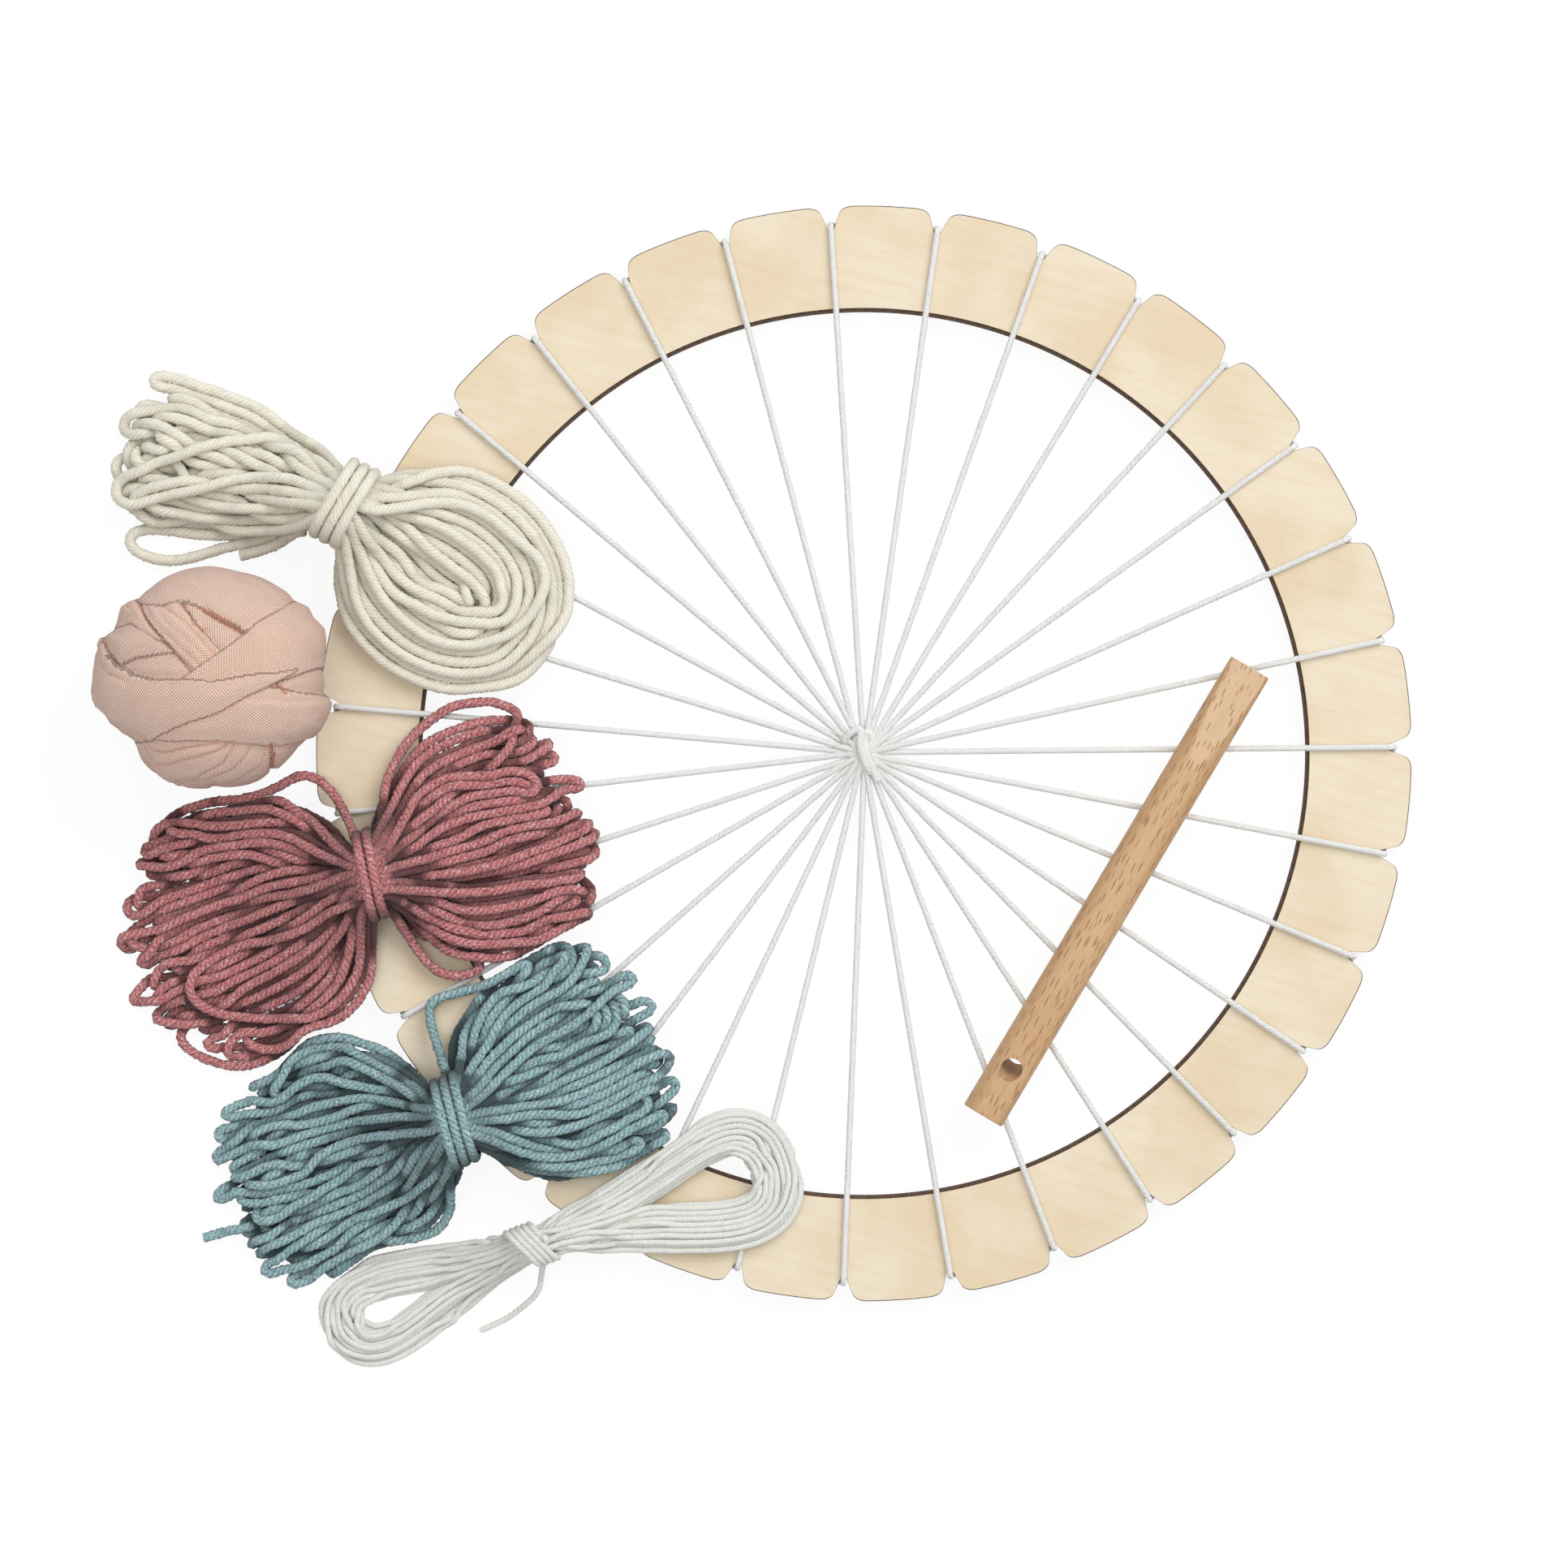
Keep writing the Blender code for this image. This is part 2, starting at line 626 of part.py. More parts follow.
def make_ribbon_ball():
    """A ball wound from one unbroken ribbon over a plain core, flat where it stands."""
    outer_radius = BALL_SIZE[0] / 2
    flatten = Matrix.Diagonal((1.0, BALL_SIZE[1] / BALL_SIZE[0], BALL_SIZE[2] / BALL_SIZE[0]))
    seat = Vector((*BALL_MIDDLE, BALL_SIZE[2] / 2 - BALL_FLAT))
    growth = RIBBON_THICKNESS + RIBBON_TURN_GAP
    core_radius = outer_radius - growth * RIBBON_TURNS

    def core(bm):
        bmesh.ops.create_icosphere(bm, subdivisions=3, radius=core_radius)
        bm.transform(Matrix.Translation(seat) @ flatten.to_4x4())

    ball = add_part(mesh_object("ribbon_ball", core), PEACH, 0.7)

    count = RIBBON_TURNS * RIBBON_POINTS_PER_TURN

    def ribbon(bm):
        rings = []
        for step in range(count + 1):
            turns = step / RIBBON_POINTS_PER_TURN
            radius = core_radius + growth * turns
            corners = ribbon_section(2 * math.pi * turns, radius, core_radius - growth, flatten)
            rings.append([bm.verts.new(seat + corner) for corner in corners])
        for near, far in zip(rings[:-1], rings[1:]):
            for i in range(len(near)):
                j = (i + 1) % len(near)
                bm.faces.new((near[i], near[j], far[j], far[i]))
        bm.faces.new(rings[0][::-1])
        bm.faces.new(rings[-1])
        bmesh.ops.recalc_face_normals(bm, faces=bm.faces)

    join_with(ball, add_cutter(mesh_object("ribbon_strip", ribbon)), "UNION", True)

    def table_block(bm):
        bmesh.ops.create_cube(bm, size=1.0)
        bm.transform(Matrix.Diagonal((2 * BALL_SIZE[0], 2 * BALL_SIZE[1], BALL_SIZE[2], 1.0)))
        bm.transform(Matrix.Translation((seat.x, seat.y, -BALL_SIZE[2] / 2)))

    join_with(ball, add_cutter(mesh_object("ball_flat", table_block)), "DIFFERENCE")


def centre_the_kit():
    """Move the kit so that the middle of the base of its box is the world origin."""
    bpy.context.view_layer.update()
    depsgraph = bpy.context.evaluated_depsgraph_get()
    lows = []
    highs = []
    for obj in PARTS.objects:
        if obj.type == "EMPTY":
            continue
        shape = obj.evaluated_get(depsgraph)
        mesh = shape.to_mesh()
        corners = np.empty(len(mesh.vertices) * 3)
        mesh.vertices.foreach_get("co", corners)
        turned = corners.reshape(-1, 3) @ np.array(shape.matrix_world.to_3x3()).T
        placed = turned + np.array(shape.matrix_world.translation)
        lows.append(placed.min(axis=0))
        highs.append(placed.max(axis=0))
        shape.to_mesh_clear()
    low = np.min(lows, axis=0)
    high = np.max(highs, axis=0)
    KIT.location = (-(low[0] + high[0]) / 2, -(low[1] + high[1]) / 2, -low[2])
    print("ring centre, mm:", [round(value / MM, 3) for value in KIT.location])
    print("kit size, mm:", [round(value / MM, 2) for value in high - low])


make_ring()
make_warp()
make_centre_knot()
make_needle()
make_hanks()
make_ribbon_ball()
centre_the_kit()
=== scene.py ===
# %% [markdown]
# A ring loom for round weavings, with what lies beside it: a dowel needle, three hanks of
# yarn, a ball of ribbon and a hank of string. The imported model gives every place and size;
# this lesson gives each piece the surface that its real material has. The model's ring isn't
# at the origin, so its centre is kept here once, and all later places are counted from it.

import math

import bmesh
import bpy
import numpy as np
from mathutils import Matrix, Vector


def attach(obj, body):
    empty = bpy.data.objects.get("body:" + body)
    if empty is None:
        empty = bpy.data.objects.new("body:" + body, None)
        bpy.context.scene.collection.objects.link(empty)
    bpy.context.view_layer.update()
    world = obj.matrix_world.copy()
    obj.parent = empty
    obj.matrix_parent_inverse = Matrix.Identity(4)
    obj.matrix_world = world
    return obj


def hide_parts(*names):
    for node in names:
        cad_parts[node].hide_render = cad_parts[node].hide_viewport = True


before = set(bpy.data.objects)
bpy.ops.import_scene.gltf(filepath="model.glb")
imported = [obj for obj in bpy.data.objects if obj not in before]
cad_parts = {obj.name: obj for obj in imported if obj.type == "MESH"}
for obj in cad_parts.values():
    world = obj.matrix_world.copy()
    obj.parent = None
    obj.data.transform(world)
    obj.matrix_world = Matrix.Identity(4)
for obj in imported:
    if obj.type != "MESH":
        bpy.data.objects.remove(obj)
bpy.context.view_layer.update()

MM = 0.001
RING_CENTRE = np.array((28.636, 7.115, 0.0)) * MM
PIXEL = 300 / 1350 * MM
RING_PIXEL = (1064.5, 928.4)
RING_TOP = 6 * MM


def at_pixel(x, y):
    """Plan position of a pixel of the square photograph, at the level of the ring."""
    return RING_CENTRE[:2] + np.array(((x - RING_PIXEL[0]) * PIXEL, (RING_PIXEL[1] - y) * PIXEL))


def at_pixels(*pixels):
    return np.array([at_pixel(x, y) for x, y in pixels])


# %% [markdown]
# The photograph looks straight down, and the far and near edges of the ring are the same
# width, so the camera stands high and uses a long lens. Its picture is 1932 pixels wide, and
# the middle of the picture is a little left of the ring's centre and below it. From here the
# inner wall of the ring still shows as a thin dark line, and the tall ball hardly moves.

# %% Camera
CAMERA_HEIGHT = 2.4
PICTURE_PIXELS = 1932

lens = bpy.data.cameras.new("camera")
lens.lens = lens.sensor_width * (CAMERA_HEIGHT - RING_TOP) / (PICTURE_PIXELS * PIXEL)
lens.clip_end = 20
camera = bpy.data.objects.new("camera", lens)
camera.location = (*at_pixel(PICTURE_PIXELS / 2, PICTURE_PIXELS / 2), CAMERA_HEIGHT)
bpy.context.scene.collection.objects.link(camera)
bpy.context.scene.camera = camera
print("lens, mm:", round(lens.lens))

# %% [markdown]
# Nodes are easier to read as arithmetic. `Graph` wraps a node tree: one method adds any node,
# and `Signal` wraps a socket so that + - * / add the Math nodes by themselves. The same
# classes serve the surfaces and the Geometry Nodes.

# %% Node arithmetic
class Signal:
    """A node's output that takes part in sums and products."""

    def __init__(self, graph, socket):
        self.graph = graph
        self.socket = socket

    def __add__(self, other):
        return self.graph.scalar("ADD", self, other)

    __radd__ = __add__

    def __sub__(self, other):
        return self.graph.scalar("SUBTRACT", self, other)

    def __rsub__(self, other):
        return self.graph.scalar("SUBTRACT", other, self)

    def __mul__(self, other):
        return self.graph.scalar("MULTIPLY", self, other)

    __rmul__ = __mul__

    def __truediv__(self, other):
        return self.graph.scalar("DIVIDE", self, other)

    def __rtruediv__(self, other):
        return self.graph.scalar("DIVIDE", other, self)

    def fit(self, low, high):
        """0 at low, 1 at high, and a smooth rise between them."""
        values = {"Value": self, "From Min": low, "From Max": high}
        return self.graph.node("ShaderNodeMapRange", values, interpolation_type="SMOOTHSTEP")


class Graph:
    """A node tree that is written as expressions."""

    def __init__(self, tree):
        self.tree = tree

    def feed(self, socket, value):
        if isinstance(value, Signal):
            self.tree.links.new(value.socket, socket)
        else:
            socket.default_value = value

    def node(self, kind, values=None, output=0, **settings):
        """Add one node with its settings and its inputs; returns one of its outputs."""
        made = self.tree.nodes.new(kind)
        for key, value in settings.items():
            setattr(made, key, value)
        for key, value in (values or {}).items():
            self.feed(made.inputs[key], value)
        return Signal(self, made.outputs[output])

    def scalar(self, operation, *values):
        return self.node("ShaderNodeMath", dict(enumerate(values)), operation=operation)

    def vector(self, operation, *values):
        """Vector Math; the number that a vector is scaled by has its own socket."""
        keys = (0, "Scale" if operation == "SCALE" else 1)
        return self.node("ShaderNodeVectorMath", dict(zip(keys, values)), operation=operation)


trial = Graph(bpy.data.node_groups.new("trial", "ShaderNodeTree"))
total = (trial.scalar("ADD", 1.0, 2.0) + 3.0) * 0.5
print("last of", len(trial.tree.nodes), "nodes:", total.socket.node.operation)
bpy.data.node_groups.remove(trial.tree)

# %% [markdown]
# A finish is a material whose Principled shader gets its colour and its bump from such sums.
# Every pattern is laid out in millimetres on the real piece, so a fibre or a stitch has its
# true size. An image texture would need a picture of each material, and would blur close by.

# %% Finishes
def srgb(red, green, blue):
    """A colour as a screen shows it, 0 to 255, in the linear values that shaders use."""
    values = [channel / 255 for channel in (red, green, blue)]
    return tuple(v / 12.92 if v < 0.04045 else ((v + 0.055) / 1.055) ** 2.4 for v in values)


class Finish(Graph):
    """A material whose Principled shader is fed by expressions."""

    def __init__(self, name, color, roughness, **constants):
        self.material = bpy.data.materials.new(name)
        self.material.use_nodes = True
        super().__init__(self.material.node_tree)
        self.shader = self.tree.nodes["Principled BSDF"]
        self.set("Base Color", (*color, 1.0))
        self.set("Roughness", roughness)
        for key, value in constants.items():
            self.set(key.replace("_", " "), value)
        self.material.diffuse_color = (*color, 1.0)

    def set(self, socket, value):
        self.feed(self.shader.inputs[socket], value)

    def place(self, turn=0.0, scale=(1.0, 1.0, 1.0), centre=(0.0, 0.0, 0.0)):
        """Object coordinates in millimetres, from a centre, turned about Z and stretched."""
        objects = self.node("ShaderNodeTexCoord", output="Object")
        moved = self.vector("SUBTRACT", objects, tuple(centre))
        turned = self.node("ShaderNodeMapping", {"Vector": moved, "Rotation": (0, 0, -turn)})
        return self.vector("MULTIPLY", turned, tuple(1000 * value for value in scale))

    def attribute(self, name, output="Fac"):
        """A value that the piece's mesh carries under that name."""
        return self.node("ShaderNodeAttribute", output=output, attribute_name=name)

    def noise(self, vector, scale, detail=2.0, roughness=0.5):
        values = {"Vector": vector, "Scale": scale, "Detail": detail, "Roughness": roughness}
        return self.node("ShaderNodeTexNoise", values)

    def mix(self, factor, first, second):
        """A colour between two colours or signals."""
        values = {0: factor}
        for key, value in ((6, first), (7, second)):
            values[key] = value if isinstance(value, Signal) else (*value, 1.0)
        return self.node("ShaderNodeMix", values, output=2, data_type="RGBA")

    def layers(self, tone, *over):
        """A colour with others laid over it, each by its mask."""
        for mask, color in over:
            tone = self.mix(mask, tone, color)
        return tone

    def bump(self, height, distance, strength):
        """A bump of that depth in metres."""
        values = {"Height": height, "Distance": distance, "Strength": strength}
        return self.node("ShaderNodeBump", values)


print("mid grey, linear:", round(srgb(128, 128, 128)[0], 3))

# %% [markdown]
# Every finished piece is a plain mesh at the origin. A few helpers put meshes in the scene and
# keep values on their points, which a finish can read as it reads a colour.

# %% Meshes and objects
def put_in_scene(name, data):
    """A new object at the origin that shows the mesh or the lamp."""
    obj = bpy.data.objects.new(name, data)
    bpy.context.scene.collection.objects.link(obj)
    return obj


def shown(name, bm):
    """The bmesh as an object of that name; the bmesh is freed."""
    mesh = bpy.data.meshes.new(name)
    bm.to_mesh(mesh)
    bm.free()
    return put_in_scene(name, mesh)


def keep_values(mesh, **columns):
    """Store values on the mesh's points, each list under its name, for a finish to read."""
    for name, values in columns.items():
        stored = mesh.attributes.new(name, "FLOAT", "POINT")
        stored.data.foreach_set("value", np.asarray(values, np.float32))


def plain_mesh(obj):
    """The object's evaluated shape as a plain mesh object at the origin; the old one goes."""
    bpy.context.view_layer.update()
    depsgraph = bpy.context.evaluated_depsgraph_get()
    mesh = bpy.data.meshes.new_from_object(obj.evaluated_get(depsgraph))
    name = obj.name
    bpy.data.objects.remove(obj, do_unlink=True)
    mesh.name = name
    return put_in_scene(name, mesh)


# %% [markdown]
# Geometry Nodes make the shapes that repeat. Each group has named inputs, so the same nodes
# serve all strands, thick or thin. The result is turned into a plain mesh at once, because
# nothing here has to change later, and a plain mesh is what any other program can read.

# %% Geometry Nodes groups
class ShapeTree(Graph):
    """A Geometry Nodes group with named inputs."""

    def __init__(self, name, inputs):
        super().__init__(bpy.data.node_groups.new(name, "GeometryNodeTree"))
        interface = self.tree.interface
        self.keys = {}
        for label, kind in {"Geometry": "Geometry", **inputs}.items():
            socket = interface.new_socket(label, in_out="INPUT", socket_type="NodeSocket" + kind)
            self.keys[label] = socket.identifier
        interface.new_socket("Geometry", in_out="OUTPUT", socket_type="NodeSocketGeometry")
        self.group = self.tree.nodes.new("NodeGroupInput")

    def given(self, label):
        return Signal(self, self.group.outputs[label])

    def store(self, geometry, name, value, kind="FLOAT"):
        """Keep a value on the points under a name that a finish reads."""
        values = {"Geometry": geometry, "Name": name, "Value": value}
        return self.node("GeometryNodeStoreNamedAttribute", values, data_type=kind, domain="POINT")

    def close(self, shape):
        """End the group: smooth, real geometry with the given finish."""
        shape = self.node("GeometryNodeSetShadeSmooth", {"Geometry": shape})
        shape = self.node("GeometryNodeRealizeInstances", {"Geometry": shape})
        values = {"Geometry": shape, "Material": self.given("Finish")}
        shape = self.node("GeometryNodeSetMaterial", values)
        self.tree.links.new(shape.socket, self.tree.nodes.new("NodeGroupOutput").inputs[0])

    def applied(self, piece, values):
        """The piece as the group makes it with these inputs, as a plain mesh."""
        modifier = piece.modifiers.new(self.tree.name, "NODES")
        modifier.node_group = self.tree
        for label, value in values.items():
            modifier[self.keys[label]] = value
        return plain_mesh(piece)


print("node groups so far:", len(bpy.data.node_groups))

# %% [markdown]
# Yarn is a few plies twisted together. A tube with a star-shaped section that turns as it runs
# along the strand gives real plies, which catch the light and make the outline slightly
# scalloped. Geometry Nodes sweep that section along any path: a mesh of points and edges goes
# in, and the tube comes out with attributes for the surface: the run along the strand, the
# direction around it, how deep the point lies between two plies and how low in the strand.

# %% Twisted strand
def strand_tree():
    tree = ShapeTree("twisted strand", {
        "Diameter": "Float", "Plies": "Int", "Corners": "Int", "Groove Depth": "Float",
        "Turn Length": "Float", "Unevenness": "Float", "Finish": "Material"})
    where = tree.node("GeometryNodeInputPosition")
    height = tree.node("ShaderNodeSeparateXYZ", {"Vector": where}, output="Z")
    along = tree.node("GeometryNodeSplineParameter", output="Length")
    path = tree.node("GeometryNodeMeshToCurve", {"Mesh": tree.given("Geometry")})
    path = tree.store(path, "along", along)
    path = tree.store(path, "low", height)
    tilt = along * (-2 * math.pi) / tree.given("Turn Length")
    path = tree.node("GeometryNodeSetCurveTilt", {"Curve": path, "Tilt": tilt})

    corners = tree.given("Corners")
    in_ply = tree.scalar("MODULO", tree.node("GeometryNodeInputIndex"), corners)
    groove = tree.scalar("LESS_THAN", in_ply, 0.5)
    radius = tree.given("Diameter") * 0.5
    circle = {"Resolution": tree.given("Plies") * corners, "Radius": radius}
    section = tree.node("GeometryNodeCurvePrimitiveCircle", circle)
    section = tree.store(section, "around", tree.vector("NORMALIZE", where), "FLOAT_VECTOR")
    section = tree.store(section, "groove", groove)
    shaped = tree.vector("SCALE", where, 1.0 - groove * tree.given("Groove Depth"))
    section = tree.node("GeometryNodeSetPosition", {"Geometry": section, "Position": shaped})

    sweep = {"Curve": path, "Profile Curve": section, "Fill Caps": True}
    tube = tree.node("GeometryNodeCurveToMesh", sweep)
    middle = tree.node("GeometryNodeInputNamedAttribute", {"Name": "low"}, data_type="FLOAT")
    tube = tree.store(tube, "low", (middle - height) / radius)
    spot = tree.vector("SCALE", where, 1 / MM)
    bulge = tree.node("ShaderNodeTexNoise", {"Vector": spot, "Scale": 0.7, "Detail": 2.0}) - 0.5
    normal = tree.node("GeometryNodeInputNormal")
    away = tree.vector("SCALE", normal, bulge * tree.given("Unevenness"))
    tree.close(tree.node("GeometryNodeSetPosition", {"Geometry": tube, "Offset": away}))
    return tree


STRAND = strand_tree()


def strand_piece(name, paths, diameter, plies, groove_depth, turn_length, finish,
                 uneven=0.1 * MM, corners=3):
    """A twisted strand along each path, as one plain mesh; a fourth column becomes "under"."""
    points = np.vstack(paths)
    ends = set(np.cumsum([len(path) for path in paths]).tolist())
    edges = [(i - 1, i) for i in range(1, len(points)) if i not in ends]
    mesh = bpy.data.meshes.new(name)
    mesh.from_pydata(points[:, :3].tolist(), edges, [])
    keep_values(mesh, under=points[:, 3] if points.shape[1] > 3 else np.zeros(len(points)))
    piece = STRAND.applied(put_in_scene(name, mesh), {
        "Diameter": diameter, "Plies": plies, "Corners": corners, "Groove Depth": groove_depth,
        "Turn Length": turn_length, "Unevenness": uneven, "Finish": finish.material})
    print(name, "faces:", len(piece.data.polygons))
    return piece


print("inputs of a strand:", ", ".join(STRAND.keys))

# %% [markdown]
# A strand's route starts as a few hundred points. `evenly` draws a smooth curve through them
# and lays points on it at one spacing, which the twist needs to look regular.

# %% Smooth even routes
def curve_through(points, steps=6):
    """Catmull-Rom curve through the points."""
    points = np.asarray(points, dtype=float)
    padded = np.vstack([2 * points[0] - points[1], points, 2 * points[-1] - points[-2]])
    share = (np.arange(steps) / steps)[None, :, None]
    a, b, c, d = (padded[i:len(padded) - 3 + i, None, :] for i in range(4))
    run = 0.5 * (2 * b + (c - a) * share + (2 * a - 5 * b + 4 * c - d) * share ** 2
                 + (3 * b - a - 3 * c + d) * share ** 3)
    return np.vstack([run.reshape(-1, points.shape[1]), points[-1:]])


def runs_of(points):
    """The run along the line at each of its points; only the first three columns are places."""
    steps = np.linalg.norm(np.diff(points[:, :3], axis=0), axis=1)
    return np.concatenate([[0.0], np.cumsum(steps)])


def evenly(points, spacing, steps=6):
    """Rows at an even spacing on the smooth curve through the given ones."""
    line = curve_through(points, steps)
    along = runs_of(line)
    count = max(2, round(along[-1] / spacing) + 1)
    wanted = np.linspace(0, along[-1], count)
    return np.column_stack([np.interp(wanted, along, column) for column in line.T])


def smooth(value):
    value = np.clip(value, 0, 1)
    return value * value * (3 - 2 * value)


bend = evenly(np.array([(0.0, 0.0), (30.0, 0.0), (30.0, 20.0)]), 5.0)
print("a bend of", round(runs_of(bend)[-1]), "mm gets", len(bend), "points")

# %% [markdown]
# A hank is one long strand, wound to and fro and drawn in by a tie. It is laid out roughly
# first, loop after loop. Then it settles: in small steps the points fall, keep their distance
# along the strand, are pushed out of each other and off the loom, and stay where the tie holds
# them. That gives strands that lie beside and on each other as yarn does, which no formula
# would. Blender's cloth solver can't keep thousands of crossing strands apart in a few
# seconds, so the steps are written with numpy. The photograph's own borders between two
# neighbours are kept too, so that any hank can be lifted without brushing the next.

# %% Settling a strand
REST_LEVEL = 8.3 * MM
DRAPE_START = 154 * MM
DRAPE_RUN = 30 * MM
BALL_MIDDLE = RING_CENTRE[:2] + np.array((-176.6, 20.1)) * MM
BALL_SIZE = np.array((65.8, 62.4, 58.0)) * MM
MOMENTUM = 0.55
FALL = 0.06 * MM
STRAIGHTENING = 0.28
PARTING = 0.45
LOOK_AGAIN = 6


def ground(places):
    """The height of what the loose pieces lie on: the strung loom, or the table beside it."""
    out = np.hypot(places[:, 0] - RING_CENTRE[0], places[:, 1] - RING_CENTRE[1])
    return REST_LEVEL * (1 - smooth((out - DRAPE_START) / DRAPE_RUN))


def close_pairs(points, reach, apart):
    """Index pairs of points within reach of each other, not neighbours along the strand."""
    small = ((points - points.mean(axis=0)) / MM).astype(np.float32)
    square = (small ** 2).sum(axis=1)
    distance = square[:, None] + square[None] - 2 * small @ small.T
    near = np.triu(distance < (reach / MM) ** 2, apart)
    return np.nonzero(near)


def settle(plan, held, room, pull, strand, limit, rounds):
    """Let a laid-out strand come to rest; held points stay, the others find their place."""
    points = plan.copy()
    before = points.copy()
    rest = np.linalg.norm(np.diff(plan, axis=0), axis=1)
    apart = int(np.ceil(2.2 * strand / rest.mean()))
    count = len(points)
    for step in range(rounds):
        if step % LOOK_AGAIN == 0:
            first, second = close_pairs(points, 1.5 * strand, apart)
            wide = strand * (room[first] + room[second]) / 2
        moved = points + MOMENTUM * (points - before)
        moved[:, 2] -= FALL
        before = points
        moved[1:-1] += STRAIGHTENING * ((moved[:-2] + moved[2:]) / 2 - moved[1:-1])
        moved[:, :2] += pull[:, None] * (plan[:, :2] - moved[:, :2])
        for start in (0, 1):
            span = moved[start + 1::2] - moved[start:-1:2]
            length = np.linalg.norm(span, axis=1)
            shift = span * (0.5 * (length - rest[start::2]) / length)[:, None]
            moved[start:-1:2] += shift
            moved[start + 1::2] -= shift
        gap = moved[second] - moved[first]
        distance = np.linalg.norm(gap, axis=1)
        over = np.maximum(0, wide - distance)
        shift = gap * (PARTING * over / np.maximum(distance, 1e-9))[:, None]
        for axis in range(3):
            moved[:, axis] += np.bincount(second, shift[:, axis], count)
            moved[:, axis] -= np.bincount(first, shift[:, axis], count)
        limit(moved)
        moved[:, 2] = np.maximum(moved[:, 2], ground(moved) + strand / 2)
        moved[held] = plan[held]
        points = moved
    return points


outwards = RING_CENTRE[:2] + np.array([(150, 0), (160, 0), (170, 0), (180, 0)]) * MM
print("ground from 150 to 180 mm out, mm:", np.round(ground(outwards) / MM, 1))

# %% [markdown]
# The hanks lie close together. A line is drawn from left to right where the photograph shows
# the border between two neighbours, and the settling steps keep each hank on its side of it.

# %% Borders between the loose pieces
CREAM_ROSE = at_pixels((400, 905), (500, 872), (560, 860), (640, 852), (720, 830))
ROSE_BLUE = at_pixels((180, 1365), (300, 1336), (340, 1318), (375, 1276), (430, 1262),
                      (520, 1226), (600, 1205), (700, 1148), (760, 1118), (820, 1090))
BLUE_STRING = at_pixels((300, 1655), (380, 1606), (420, 1572), (460, 1543), (535, 1530),
                        (600, 1508), (640, 1480), (700, 1456), (760, 1446), (815, 1414),
                        (850, 1390), (890, 1330))


def keep_inside(upper, lower, margin):
    """Limits for a hank: below its upper border, above its lower one and off the ball."""
    def limit(points):
        for line, sign in ((upper, -1), (lower, 1)):
            if line is not None:
                edge = np.interp(points[:, 0], line[:, 0], line[:, 1]) + sign * margin
                points[:, 1] = sign * np.maximum(sign * points[:, 1], sign * edge)
        away = points[:, :2] - BALL_MIDDLE
        size = np.linalg.norm(away / (BALL_SIZE[:2] / 2 + margin), axis=1)
        push = np.where(size < 1, 1 / np.maximum(size, 0.3), 1)
        points[:, :2] = BALL_MIDDLE + away * push[:, None]
    return limit


borders = (CREAM_ROSE, ROSE_BLUE, BLUE_STRING)
print("borders, mm:", [round(runs_of(line)[-1] / MM) for line in borders])

# %% [markdown]
# Each hank is described by what the photograph shows: where its tie is, which way each end
# points, how far it reaches and how wide it spreads. A fan end has narrow loops side by side,
# whose tips stick out; a round end has nested loops round a hole. A few loops that strayed are
# given by the pixels that they pass.

# %% Two kinds of ends
# How firmly a settling point is drawn to its planned place: in heaped loops, in neat layers
# and cut ends, and in strays.
LOOSE, FIRM, STRAY = 0.004, 0.03, 0.05
GOLDEN = 0.618


class Fan:
    """An end of narrow loops that spread from the tie; bow is how soon they do."""
    pull = LOOSE

    def __init__(self, heading, reach, belly, tips, bow=2.4, shorter=0.3):
        self.heading = math.radians(heading)
        self.reach = reach * MM
        self.belly = belly * MM
        self.tips = tips * MM
        self.bow = bow
        self.shorter = shorter

    def loop(self, rng, across, level, strand):
        """One loop as rows of run, sideways and height, from the waist out and back.

        Each loop differs a little in its place, length, opening, lean and bend.
        """
        across = np.clip(across + rng.normal(0, 0.13), -1, 1)
        reach = self.reach * (1 - self.shorter * across ** 2) * (1 - 0.2 * rng.random() ** 1.5)
        half = strand * rng.uniform(0.8, 1.25)
        lean = math.radians(rng.uniform(15, 85)) * rng.choice((-1, 1))
        bend = rng.normal(0, 0.9, 2) * strand
        run = np.linspace(0, reach - half, 16)
        turn = np.linspace(0, math.pi, 9)[1:-1]
        share = run / reach
        if self.bow:
            spread = 1 - (1 - np.clip(share / 0.55, 0, 1)) ** self.bow
        else:
            spread = share
        spread = spread * (1 - (1 - self.tips / self.belly) * smooth((share - 0.45) / 0.55))
        centre = across * self.belly * spread
        legs = []
        for side, curve in ((1, bend[0]), (-1, bend[1])):
            opening = side * half * smooth(share / 0.5)
            swing = curve * np.sin(math.pi * share)
            height = level * strand + opening * math.sin(lean) + abs(swing) * 0.4
            legs.append(np.column_stack([run, centre + opening * math.cos(lean) + swing, height]))
        tip = np.column_stack([reach - half + half * np.sin(turn),
                               centre[-1] + half * np.cos(turn) * math.cos(lean),
                               level * strand + half * np.cos(turn) * math.sin(lean)])
        return legs[0], tip, legs[1][::-1]


